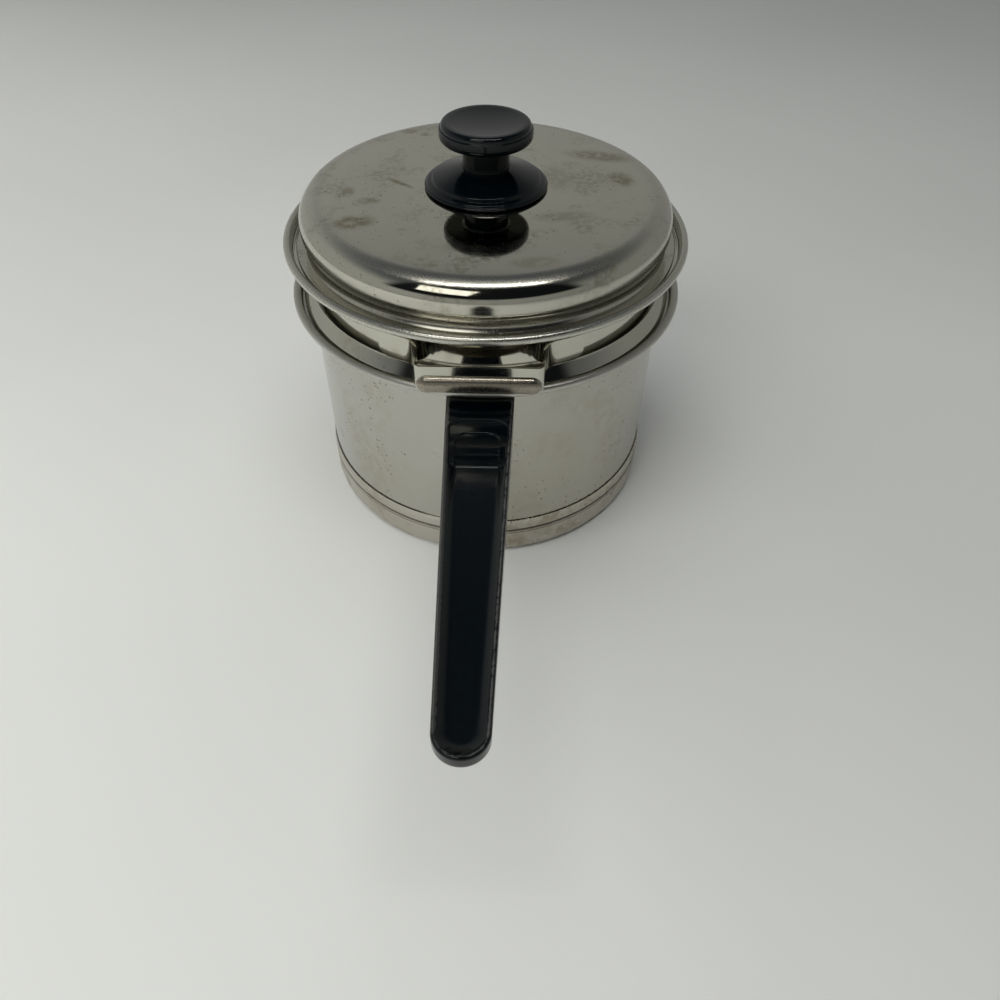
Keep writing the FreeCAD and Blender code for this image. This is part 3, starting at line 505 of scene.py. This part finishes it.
# Black phenolic moulding: glossy, faintly mottled, scratched, and grey on its edges, partly where they are
# worn and partly as a painted highlight.
def makePhenolic(name, look):
    material, tree, shader = newMaterial(name)
    place = objectPlace(tree)
    edge = addNode(tree, "Attribute", {}, attribute_name="edge").outputs["Fac"]
    wornAndSheen = useGroup(tree, wearAndSheenGroup, place, {
        "Edge": edge, "Scale": look["wearAndSheenScale"], "Level": look["wearAndSheenLevel"]})["WearAndSheen"]
    wearAndSheen = maths(tree, "MULTIPLY", wornAndSheen, look["wearAndSheenAmount"])
    scratches = useGroup(tree, scratchGroup, place, {
        "Scale": look["scratchScale"], "Level": look["scratchLevel"]})["Scratches"]
    mottle = noise(tree, place, look["mottleScale"], 4.0, 0.6)
    haze = ranged(tree, noise(tree, place, look["hazeScale"]), *look["haze"])
    body = mixed(tree, ranged(tree, mottle, *look["mottle"]), look["black"], look["mottled"])
    feed(tree, shader.inputs["Base Color"], mixed(tree, wearAndSheen, body, look["wornAndSheen"]))
    feed(tree, shader.inputs["Roughness"], summed(
        tree, look["rough"], (haze, look["hazeRough"]), (scratches, look["scratchRough"]),
        (wearAndSheen, look["wearRough"])))
    groove = maths(tree, "MULTIPLY", scratches, -look["scratchDepth"])
    height = summed(tree, groove, (mottle, look["mottleHeight"]), (wearAndSheen, -look["wearDepth"]))
    bumped(tree, shader, height, look["bump"])
    shader.inputs["IOR"].default_value = look["ior"]
    return material


phenolicLook = {
    "black": (0.0006, 0.0017, 0.0026), "mottled": (0.001, 0.0023, 0.0033), "mottleScale": 420.0,
    "mottle": (0.35, 0.65), "haze": (0.35, 0.7), "bump": 0.7,
    # worn edges are grey, and on the grip's rim this grey is also a painted highlight
    "wornAndSheen": (0.15, 0.148, 0.14), "wearAndSheenScale": 520.0, "wearAndSheenLevel": 0.2, "wearAndSheenAmount": 0.27, "wearRough": 0.3,
    "scratchScale": 50.0, "scratchLevel": 0.66, "scratchRough": 0.1,
    "rough": 0.1, "hazeScale": 40.0, "hazeRough": 0.04, "ior": 1.42,
    "mottleHeight": 0.0000012, "scratchDepth": 0.0000008, "wearDepth": 0.000001,
}
gripPhenolic = makePhenolic("gripPhenolic", phenolicLook)
knobPhenolic = makePhenolic("knobPhenolic", phenolicLook | {"rough": 0.09, "wearAndSheenAmount": 0.01, "ior": 1.38})
print("finishes ready")


def dress(piece, body, node, material):
    piece.data.materials.append(material)
    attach(piece, body)
    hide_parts(node)
    print(piece.name, len(piece.data.polygons), "faces")
    return piece


# Middle line of a rolled rim: out along the shelf, up, and three quarters round the bead.
def rolledRim(values):
    half = values["sheet"] / 2
    roll = values["beadRadius"] - half
    shelf = values["shelf"] - half
    bead, height = values["bead"], values["beadHeight"]
    return [(values["wall"] - half, shelf, values["flare"] + half),
            (bead - roll, shelf, values["curl"] + half),
            (bead - roll, height + roll, roll), (bead + roll, height + roll, roll),
            (bead + roll, height - roll, roll), (bead, height - roll)]


rimFinish = {"full": 2.6, "fade": 4.4, "inside": 0.35}


# Rolled rims are satin, and so, less strongly, is the inside, which is the second half of the section.
def rimSatin(section, values, finish):
    inside = np.arange(len(section)) > len(section) / 2
    bead = nearMark(section, (values["bead"], values["beadHeight"]), finish["full"], finish["fade"])
    return np.maximum(bead, finish["inside"] * inside)


panValues = {
    "wall": 80.0, "sheet": 0.8, "floor": 5.2, "corner": 9.0,
    "shelf": 99.9, "flare": 2.0, "curl": 0.5, "bead": 86.2, "beadHeight": 102.0, "beadRadius": 1.8,
}


def makePan(values):
    half = values["sheet"] / 2
    corners = [(0, values["floor"] + half),
               (values["wall"] - half, values["floor"] + half, values["corner"] - half)] + rolledRim(values)
    section = sheetLine(corners, values["sheet"])
    return lathe("pan_body", section, marks={"satin": rimSatin(section, values, rimFinish)})


dress(makePan(panValues), "pan", "pan_shell", wallSteel)

cupValues = {
    "radius": 81.1, "sheet": 1.0, "height": 20.7, "corner": 4.0,
    "groove": 14.5, "grooveDepth": 0.6, "grooveWidth": 1.8, "grooveEdge": 0.35, "grooveFloor": 0.3,
    "edge": 0.12, "taper": 0.6, "taperHeight": 1.8, "taperBend": 2.0,
}


def makeCup(values):
    outer, inner = values["radius"], values["radius"] - values["sheet"]
    side = values["grooveWidth"] / 2
    corners = [
        (0, 0), (outer, 0, values["corner"]),
        (outer, values["groove"] - side, values["grooveEdge"]),
        (outer - values["grooveDepth"], values["groove"], values["grooveFloor"]),
        (outer, values["groove"] + side, values["grooveEdge"]),
        (outer, values["height"] - values["taperHeight"], values["taperBend"]),
        (outer - values["taper"], values["height"], values["edge"]),
        (inner, values["height"], values["edge"]),
        (inner, values["sheet"], values["corner"] - values["sheet"]), (0, values["sheet"]),
    ]
    return lathe("base_band", bentLine(corners))


dress(makeCup(cupValues), "pan", "base_cup", baseSteel)


gripValues = {
    "top": 95.5, "bottom": 76.5, "endBottom": 89.0, "slopeStart": 20.0, "slopeEnd": 159.3,
    "wall": 80.0, "wallGap": 0.3, "rootHalf": 13.8, "endHalf": 8.6, "length": 153.3,
    "wallEase": 10.0, "topRound": 1.1, "lowRound": 3.0, "rim": 0.9,
    # stations stand closest together along the thumb rest
    "rootEnd": 12.6, "fine": (12.9, 42.0), "restStart": 43.0,
    # wear and painted highlight on the rim's crest: its inset from the outline, its least share, and where
    # it grows to the left, towards the light, and from the tip
    "crest": 0.95, "crestWidth": 0.8, "leastWearAndSheen": 0.62, "sheenToLeft": (2, 6), "wearAndSheenTip": (6, 18),
    "troughStart": 13.8, "troughCorner": 7.0, "startRun": 0.4, "troughDepth": 2.5, "troughSlope": 4.6,
    "troughEndSlope": 6.2,
    # each step in the thumb rest's floor: start, inset from the side, corner, drop, width of its wall
    "firstFloor": 1.0, "steps": [(20.8, 4.4, 5.0, 0.55, 0.4), (32.1, 4.4, 0.6, 0.5, 0.4)],
    "lastStep": 38.4, "lastRun": 0.6, "tipRun": 6.0, "blend": 0.25,
    "screwPlace": 16.0, "screwHole": 4.85, "screwSeat": 80.25,
    "holeSides": 64, "cutterRoom": 5.0, "sharp": 40.0,
}


# Depth of the grip's top below its rim at a place (across, along). The trough is a bowl: its depth less the
# squared share of the way from its floor back to its rim. It goes no deeper than a floor that drops inside
# the rounded outline of each step and is free where the steps end, and it starts at a rounded outline.
def gripDepth(across, along, inset, values):
    def within(start, side, corner):
        inSide, inStart = inset - side, along - start
        rounded = corner - np.hypot(np.maximum(corner - inSide, 0), np.maximum(corner - inStart, 0))
        return np.where((inSide < corner) & (inStart < corner), rounded, np.minimum(inSide, inStart))

    depth, blend = values["troughDepth"], values["blend"]
    floor = values["firstFloor"]
    for start, side, corner, drop, wall in values["steps"]:
        floor = floor + drop * smooth(within(start, side, corner), -wall / 2, wall / 2)
    run = values["lastRun"] / 2
    floor = floor + (depth - floor) * smooth(along, values["lastStep"] - run, values["lastStep"] + run)
    past = np.maximum(along - values["length"] + values["endHalf"] + values["tipRun"], 1e-6)
    tipShare = (past / np.hypot(across, past)) ** 2
    slope = values["troughSlope"] + (values["troughEndSlope"] - values["troughSlope"]) * tipShare
    share = np.clip((inset - values["rim"]) / slope, 0, 1)
    bowl = depth * (1 - (1 - share) ** 2)
    cut = np.minimum(bowl, floor) - np.maximum(blend - np.abs(bowl - floor), 0) ** 2 / (4 * blend)
    inside = within(values["troughStart"], values["rim"], values["troughCorner"])
    return cut * smooth(inside, -values["startRun"] / 2, values["startRun"] / 2)


# Height of the grip's underside: level near the pan, then rising in a straight line to the tip.
def gripUnder(along, values):
    share = np.clip((along - values["slopeStart"]) / (values["slopeEnd"] - values["slopeStart"]), 0, 1)
    return values["bottom"] + (values["endBottom"] - values["bottom"]) * share


# Cuts a round hole into a piece from below: the piece less a cylinder that ends at the given height.
def cutFromBelow(piece, along, radius, end, values):
    angle = np.linspace(0, 2 * np.pi, values["holeSides"], endpoint=False)
    low = np.stack([radius * np.cos(angle), radius * np.sin(angle) - values["wall"] - along, angle * 0], 1)
    points = np.concatenate([low + (0, 0, values["bottom"] - values["cutterRoom"]), low + (0, 0, end)])
    cutter = meshPiece("cutter", points, gridQuads(2, len(angle), closeColumns=True))
    hole = piece.modifiers.new("hole", "BOOLEAN")
    hole.object = cutter
    graph = bpy.context.evaluated_depsgraph_get()
    shown = piece.evaluated_get(graph)
    mesh = bpy.data.meshes.new_from_object(shown, preserve_all_data_layers=True, depsgraph=graph)
    piece.modifiers.clear()
    piece.data = mesh
    mesh.set_sharp_from_angle(angle=np.radians(values["sharp"]))
    bpy.data.objects.remove(cutter)


# The outline is walked down one side, round the tip and back. At each station the section runs from the
# middle of the top out over the rim, down the side, round the lower edge and back to the middle below;
# a place on it is a share of the way from the outline to the middle line.
def makeGrip(values):
    endMiddle = values["length"] - values["endHalf"]
    taper = (values["rootHalf"] - values["endHalf"]) / endMiddle
    along = np.concatenate([
        np.linspace(values["wallGap"], values["rootEnd"], 10), np.linspace(*values["fine"], 120),
        np.linspace(values["restStart"], endMiddle, 70)])
    tip = np.linspace(0, np.pi, 73)[1:-1]
    half = values["rootHalf"] - taper * along
    edgeX = np.concatenate([-half, -values["endHalf"] * np.cos(tip), half[::-1]])[:, None]
    edgeS = np.concatenate([along, endMiddle + values["endHalf"] * np.sin(tip), along[::-1]])[:, None]
    coreS = np.concatenate([along, np.full(len(tip), endMiddle), along[::-1]])[:, None]
    reach = np.concatenate([half, np.full(len(tip), values["endHalf"]), half[::-1]])[:, None]

    def spot(inset):
        share = inset / reach
        return edgeX * (1 - share), edgeS * (1 - share) + coreS * share

    def spread(row):
        return np.broadcast_to(row, (len(reach), len(row)))

    bend, lowBend = values["topRound"], values["lowRound"]
    turn, lowTurn = np.linspace(0, np.pi / 2, 8), np.linspace(0, np.pi / 2, 9)
    topShare = np.concatenate([np.linspace(1, 0.66, 10), np.linspace(0.64, 0.012, 60)])
    topInset = np.concatenate([topShare * (reach - bend) + bend, spread(bend * (1 - np.sin(turn)))], 1)
    topDrop = np.concatenate([spread(0 * topShare), spread(bend * (1 - np.cos(turn)))], 1)
    topX, topS = spot(topInset)
    topZ = values["top"] - topDrop - gripDepth(topX, topS, topInset, values)
    sideShare = np.linspace(0, 1, 9)[1:-1]
    sideTop, sideLow = values["top"] - bend, gripUnder(edgeS, values) + lowBend
    sideZ = sideTop + (sideLow - sideTop) * sideShare
    sideX, sideS = spot(0 * sideZ)
    lowInset = np.concatenate([spread(lowBend * (1 - np.cos(lowTurn))),
                               lowBend + (reach - lowBend) * np.linspace(0.3, 1, 8)], 1)
    lowX, lowS = spot(lowInset)
    lowZ = gripUnder(lowS, values) + np.concatenate([lowBend * (1 - np.sin(lowTurn)), np.zeros(8)])
    x = np.concatenate([topX, sideX, lowX], 1)
    s = np.concatenate([topS, sideS, lowS], 1)
    z = np.concatenate([topZ, sideZ, lowZ], 1)
    # the end at the pan follows the wall
    wall = values["wall"] + values["wallGap"]
    s = s + (np.sqrt(wall ** 2 - x ** 2) - wall) * np.clip(1 - s / values["wallEase"], 0, 1)
    points = np.stack([x, -(values["wall"] + s), z], -1).reshape(-1, 3)
    # the crest of the rim is worn and carries a painted highlight, strongest on the left where the light
    # falls, short of the tip
    edge = np.zeros(x.shape)
    edge[:, :topInset.shape[1]] = np.exp(-((topInset - values["crest"]) / values["crestWidth"]) ** 2)
    wearAndSheenGrowth = smooth(-x, *values["sheenToLeft"]) * smooth(values["length"] - s, *values["wearAndSheenTip"])
    edge = edge * (values["leastWearAndSheen"] + (1 - values["leastWearAndSheen"]) * wearAndSheenGrowth)
    piece = meshPiece("handle_moulding", points, gridQuads(*x.shape), {"edge": edge}, merge=0.01)
    cutFromBelow(piece, values["screwPlace"], values["screwHole"], values["screwSeat"], values)
    return piece


dress(makeGrip(gripValues), "pan", "handle_grip", gripPhenolic)

insertValues = {
    "wall": 78.5, "sheet": 0.8, "floor": 40.0, "corner": 10.0,
    "stop": 100.2, "stopRadius": 83.1, "stopEdge": 1.5, "stopTop": 106.4, "stopBends": (1.1, 0.6, 0.9, 1.6),
    "shelf": 123.6, "flare": 2.0, "curl": 0.5, "bead": 86.4, "beadHeight": 126.4, "beadRadius": 1.8,
}


def makeInsert(values):
    half = values["sheet"] / 2
    wall, ledge = values["wall"] - half, values["stopRadius"] - half
    ring = [(wall, values["stop"] + half), (ledge, values["stop"] + half),
            (ledge, values["stop"] + values["stopEdge"]), (wall, values["stopTop"] - half / 2)]
    corners = [(0, values["floor"] + half), (wall, values["floor"] + half, values["corner"] - half)]
    corners += [(*place, bend) for place, bend in zip(ring, values["stopBends"])]
    section = sheetLine(corners + rolledRim(values), values["sheet"])
    return lathe("insert_bowl", section, around=256, marks={"satin": rimSatin(section, values, rimFinish)})


dress(makeInsert(insertValues), "insert", "insert_shell", insertSteel)

earValues = {
    "wall": 78.55, "sheet": 1.0, "front": 88.6, "halfWidth": 25.0, "corner": 3.0, "bend": 8.0,
    "tabEnd": 40.5, "tabCorner": 4.0, "top": 116.0, "tabRise": 2.4, "riseStart": 1.0, "riseEnd": 4.0,
    "low": 107.3, "apron": 105.3, "apronDepth": 5.0, "apronEase": 1.2,
    "lipMiddle": 108.0, "lipRadius": 3.3, "lipHalf": 20.2, "lipBulge": 2.5, "lipEase": 0.2, "lipSatinAndShade": 0.5,
    "edge": 0.22, "edgeAngle": 50.0,
}


# The strap's plan is one bent line: along the wall, out, across the front and back. Its height is a grid
# of shares from the lower edge to the upper one, and the lip is pushed out of the front as a round roll
# with ball ends: the root of one less the squared distance from the roll's middle line.
def makeEar(name, turn, values):
    half = values["sheet"] / 2
    tabRadius, bendRadius = values["wall"] + half, values["bend"] + half
    bendX = values["halfWidth"] + values["bend"]
    bendY = np.sqrt((tabRadius + bendRadius) ** 2 - bendX ** 2)
    lean = np.arctan2(bendX, bendY)
    tab = np.linspace(np.arcsin(values["tabEnd"] / tabRadius), lean, 26)
    spin = np.linspace(1.5 * np.pi - lean, np.pi, 18)[1:]
    cornerX, cornerY = values["halfWidth"] - values["corner"], values["front"] - values["corner"]
    cornerRadius = values["corner"] - half
    arm = np.linspace(bendY, cornerY, 10)[1:-1]
    arc = np.linspace(0, np.pi / 2, 12)
    front = np.linspace(cornerX, 0, 56)[1:]
    sideX = np.concatenate([
        tabRadius * np.sin(tab), bendX + bendRadius * np.cos(spin), 0 * arm + values["halfWidth"] - half,
        cornerX + cornerRadius * np.cos(arc), front])
    sideY = np.concatenate([
        tabRadius * np.cos(tab), bendY + bendRadius * np.sin(spin), arm,
        cornerY + cornerRadius * np.sin(arc), 0 * front + values["front"] - half])
    across = np.concatenate([sideX, -sideX[-2::-1]])[:, None]
    depth = np.concatenate([sideY, sideY[-2::-1]])[:, None]
    stepX, stepY = np.gradient(across[:, 0])[:, None], np.gradient(depth[:, 0])[:, None]
    length = np.hypot(stepX, stepY)
    # the apron hangs lower at the front, and the tabs' lower corners are round
    apronStart = values["front"] - values["apronDepth"]
    low = values["low"] + (values["apron"] - values["low"]) * smooth(
        depth, apronStart - values["apronEase"], apronStart + values["apronEase"])
    fromEnd = np.maximum(np.abs(across) - (values["tabEnd"] - values["tabCorner"]), 0)
    low = low + values["tabCorner"] - np.sqrt(np.maximum(values["tabCorner"] ** 2 - fromEnd ** 2, 0))
    top = values["top"] + values["tabRise"] * smooth(
        depth, values["front"] - values["riseStart"], values["wall"] - values["riseEnd"])
    height = low + (top - low) * np.linspace(0, 1, 72)
    past = np.maximum(np.abs(across) - values["lipHalf"], 0)
    ball = 1 - (np.hypot(height - values["lipMiddle"], past) / values["lipRadius"]) ** 2
    roll = np.sqrt(np.maximum(ball, 0)) * smooth(ball, 0, values["lipEase"]) * (depth > cornerY)
    outX = across + stepY / length * roll * values["lipBulge"]
    outY = depth - stepX / length * roll * values["lipBulge"]
    points = np.stack([outX * turn, -outY * turn, height], -1).reshape(-1, 3)
    # the satin mark on the lip roll also places the ear's painted shade
    piece = newPiece(name, points, gridQuads(*height.shape), {"satin": smooth(roll, 0, values["lipSatinAndShade"])})
    wall = piece.modifiers.new("thickness", "SOLIDIFY")
    wall.thickness = values["sheet"] * mm
    wall.offset = 0.0
    edges = piece.modifiers.new("edges", "BEVEL")
    edges.width = values["edge"] * mm
    edges.segments = 2
    edges.limit_method = "ANGLE"
    edges.angle_limit = np.radians(values["edgeAngle"])
    return piece


for earName, earNode, earTurn in (("front_lift_ear", "front_ear", 1), ("rear_lift_ear", "rear_ear", -1)):
    dress(makeEar(earName, earTurn, earValues), "insert", earNode, earSteelShadedLip)


lidValues = {
    "top": 145.2, "sheet": 0.8, "hole": 2.25, "wall": 80.0, "shoulder": 9.0,
    "edge": (79.6, 132.52), "cove": (74.2, 129.0), "coveBend": 4.9, "neck": (78.62, 124.3),
    "brim": 82.5, "edgeBend": 0.9, "neckBend": 0.5,
    "rise": 0.6, "fall": 1.2, "flat": 71.0, "crownStart": 1.0, "crownFull": 1.5,
    # satin: the ring round the top and the brim as full and fading distances, the wall as radii and heights
    "ring": (74.0, 144.5), "ringSatin": (2.4, 4.4), "brimSatin": (4.6, 6.4), "brimShare": 0.8,
    "wallRadius": (77.8, 79.0), "wallHeight": (7.0, 4.0), "wallShare": 0.5,
}


def makeLid(values):
    half = values["sheet"] / 2
    level = values["top"] - half
    corners = [(values["hole"], level), (values["wall"] - half, level, values["shoulder"] - half),
               (*values["edge"], values["edgeBend"]), (*values["cove"], values["coveBend"]),
               (*values["neck"], values["neckBend"]), (values["brim"], values["neck"][1])]
    section = sheetLine(corners, values["sheet"], step=5.0)
    # the pressed top is slightly crowned: it stands up in the middle and falls with the squared radius
    lift = values["rise"] - values["fall"] * (section[:, 0] / values["flat"]) ** 2
    edgeHeight = values["edge"][1]
    section[:, 1] += lift * smooth(
        section[:, 1], edgeHeight + values["crownStart"], values["top"] - values["crownFull"])
    ring = nearMark(section, values["ring"], *values["ringSatin"])
    brim = nearMark(section, values["neck"], *values["brimSatin"]) * values["brimShare"]
    upper, lower = values["wallHeight"]
    wall = smooth(section[:, 0], *values["wallRadius"]) * values["wallShare"]
    wall = wall * smooth(section[:, 1], edgeHeight + upper, edgeHeight + lower)
    return lathe("lid_dome", section, marks={"satin": np.maximum(np.maximum(ring, wall), brim)})


dress(makeLid(lidValues), "lid", "lid_shell", lidSteel)

skirtValues = {
    "level": 145.65, "hole": 2.25, "hub": 8.0, "hollow": 2.0, "hollowRadius": 20.0,
    "footBend": 0.2, "hollowBend": 0.3,
    "outer": [(24.6, 0.0, 0.3), (26.1, 0.7, 0.4), (26.1, 1.3, 0.45), (25.2, 1.75, 0.25), (24.9, 2.3, 0.4),
              (23.1, 2.75, 0.25), (22.5, 4.05, 0.5), (10.4, 7.95, 0.3)],
}


def makeSkirt(values):
    level, deep = values["level"], values["level"] + values["hollow"]
    foot, inner = values["footBend"], values["hollowBend"]
    corners = [(values["hole"], level), (values["hub"], level, foot), (values["hub"], deep, inner),
               (values["hollowRadius"], deep, inner), (values["hollowRadius"], level, foot)]
    corners += [(radius, level + rise, bend) for radius, rise, bend in values["outer"]]
    section = bentLine(corners + [(values["hole"], level + values["outer"][-1][1])], run=1.5)
    return lathe("knob_base", section, around=192, marks={"edge": edgeMark(section)})


dress(makeSkirt(skirtValues), "lid", "knob_skirt", knobPhenolic)

capValues = {
    "level": 153.6, "hole": 3.63, "holeDepth": 11.5, "holeBend": 0.2, "holeStart": 0.1,
    "dish": 1.1, "dishRadius": 15.8, "top": 18.15,
    "outer": [(9.8, 0.0, 0.25), (9.8, 10.9, 1.6), (19.3, 10.9, 2.2), (19.3, 15.9, 0.5), (18.5, 15.9, 0.2),
              (18.5, 18.15, 1.7)],
}


def makeCap(values):
    level = values["level"]
    corners = [(values["hole"], level)]
    corners += [(radius, level + rise, bend) for radius, rise, bend in values["outer"]]
    corners.append((values["dishRadius"], level + values["top"]))
    rim = bentLine(corners, run=1.5)
    # the dish is deepest in the middle and rises with the squared radius; the well below takes the bush
    far = np.linspace(1, 0, 26)[1:]
    dish = np.stack([rim[-1, 0] * far, level + values["top"] - values["dish"] * (1 - far ** 2)], 1)
    wellTop = level + values["holeDepth"]
    well = bentLine([(0, wellTop), (values["hole"], wellTop, values["holeBend"]),
                     (values["hole"], level + values["holeStart"])], run=2.0)
    section = np.concatenate([rim, dish, well])
    return lathe("knob_top", section, around=192, marks={"edge": edgeMark(section)})


dress(makeCap(capValues), "lid", "knob_cap", knobPhenolic)

# hidden pieces keep their CAD meshes and only get a finish
hiddenFinish = {
    "core_disc": coreAluminium, "handle_bracket": fixingSteel, "handle_screw": fixingSteel,
    "handle_washer": fixingSteel, "knob_bush": bushBrass, "knob_screw": fixingSteel,
    "knob_washer": fixingSteel,
}
for node, material in hiddenFinish.items():
    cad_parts[node].data.materials.clear()
    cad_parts[node].data.materials.append(material)
print("pieces ready")


stageValues = {
    "floorColour": (0.62, 0.63, 0.61), "floorTint": 0.96, "floorScale": 3.0, "floorCloud": (0.3, 0.7),
    "floorRadius": 1.4, "floorFade": 0.25, "floorRough": 0.6, "floorShine": 0.2,
    "tentLow": (0.308, 0.312, 0.298), "tentHigh": (0.072, 0.08, 0.088), "tentTop": (0.3, 0.3, 0.295),
    "dimRise": (0.42, 0.82), "topRise": (0.955, 0.985), "sides": (1.3, 0.8),
    "opening": (0.008, 0.009, 0.01), "openingFront": (-0.42, -0.58), "openingTop": (0.985, 0.93),
    "openingSill": (0.28, 0.42), "aim": (0.0, 0.0, 0.06),
    "lamps": [
        # name, place, size, watts, colour, whether metal shows it
        ("keyLamp", (-0.5, -0.5, 0.6), (0.8, 0.7), 4.6, (1.0, 0.99, 0.965), False),
        ("sideLamp", (-1.0, 0.4, 0.6), (0.8, 0.7), 3.3, (1.0, 0.99, 0.965), False),
        ("topLamp", (0.0, 0.0, 1.8), (1.4, 1.4), 7.5, (0.98, 0.99, 1.0), False),
        ("stripLamp", (0.0, -0.2, 0.95), (0.7, 0.05), 1.7, (1.0, 0.99, 0.96), True),
        ("windowLamp", (-0.32, -0.67, 0.87), (0.5, 0.35), 1.0, (1.0, 0.99, 0.93), True),
    ],
}


# A round card that fades out at its edge, so that it runs into the tent without a line.
def makeFloor(values):
    around = 128
    angle = np.linspace(0, 2 * np.pi, around, endpoint=False)[:, None]
    reach = values["floorRadius"] / mm * np.array([[0.001, 0.3, 1.0]])
    points = np.stack([reach * np.cos(angle), reach * np.sin(angle), 0 * angle * reach], -1).reshape(-1, 3)
    core = np.linspace(0, 3 * around, 4, endpoint=False, dtype=int)
    rings = gridQuads(around, 3, closeRows=True)[:, ::-1]
    piece = newPiece("floor", points, np.concatenate([rings, core[None]]))
    material, tree, shader = newMaterial("floorCard")
    place = objectPlace(tree)
    soft = ranged(tree, noise(tree, place, values["floorScale"], 2.0), *values["floorCloud"])
    tint = tuple(channel * values["floorTint"] for channel in values["floorColour"])
    feed(tree, shader.inputs["Base Color"], mixed(tree, soft, values["floorColour"], tint))
    edge = values["floorRadius"]
    shown = ranged(tree, vectorLength(tree, place), edge, edge - values["floorFade"])
    feed(tree, shader.inputs["Alpha"], shown)
    shader.inputs["Roughness"].default_value = values["floorRough"]
    shader.inputs["Specular IOR Level"].default_value = values["floorShine"]
    piece.data.materials.append(material)
    return piece


# The world is the inside of a light tent: pale low down and at its very top, dimmer between and brighter
# on the left, with a dark window in its front above a pale sill. How far a direction faces the front is
# its forward part over its level length.
def makeWorld(values):
    world = bpy.data.worlds.new("tent")
    world.use_nodes = True
    bpy.context.scene.world = world
    tree = world.node_tree
    tree.nodes.clear()
    right, ahead, up = splitVector(tree, addNode(tree, "TexCoord", {}).outputs["Generated"])
    tent = mixed(tree, ranged(tree, up, *values["dimRise"]), values["tentLow"], values["tentHigh"])
    tent = mixed(tree, ranged(tree, up, *values["topRise"]), tent, values["tentTop"])
    level = maths(tree, "MAXIMUM", planeLength(tree, right, ahead), 0.001)
    opening = ranged(tree, maths(tree, "DIVIDE", ahead, level), *values["openingFront"])
    for limits in (values["openingTop"], values["openingSill"]):
        opening = maths(tree, "MULTIPLY", opening, ranged(tree, up, *limits))
    light = addNode(tree, "Background", {
        "Color": mixed(tree, opening, tent, values["opening"]),
        "Strength": ranged(tree, right, -1.0, 1.0, *values["sides"]),
    })
    addNode(tree, "OutputWorld", {"Surface": light.outputs[0]})


def makeLamps(values):
    for name, place, size, watts, colour, shown in values["lamps"]:
        lamp = bpy.data.lights.new(name, "AREA")
        lamp.shape = "RECTANGLE"
        lamp.size, lamp.size_y = size
        lamp.energy = watts
        lamp.color = colour
        holder = bpy.data.objects.new(name, lamp)
        bpy.context.scene.collection.objects.link(holder)
        aim = Vector(values["aim"]) - Vector(place)
        holder.rotation_euler = aim.to_track_quat("-Z", "Y").to_euler()
        holder.location = place
        holder.visible_glossy = shown


cameraValues = {
    "eye": (10.9, -329.2, 296.6), "right": (0.9998, 0.0196, 0.0093), "down": (0.0206, -0.7229, -0.6906),
    "lens": 28.55, "sensor": 36.0, "clip": 0.01,
}


def makeCamera(values):
    camera = bpy.data.cameras.new("camera")
    camera.lens, camera.sensor_width = values["lens"], values["sensor"]
    camera.clip_start = values["clip"]
    holder = bpy.data.objects.new("camera", camera)
    bpy.context.scene.collection.objects.link(holder)
    right = Vector(values["right"]).normalized()
    up = -Vector(values["down"])
    back = right.cross(up).normalized()
    up = back.cross(right)
    turned = Matrix((right, up, back)).transposed().to_4x4()
    holder.matrix_world = Matrix.Translation(Vector(values["eye"]) * mm) @ turned
    bpy.context.scene.camera = holder


makeFloor(stageValues)
makeWorld(stageValues)
makeLamps(stageValues)
makeCamera(cameraValues)
bpy.context.scene.view_settings.view_transform = "Standard"
print("stage ready")
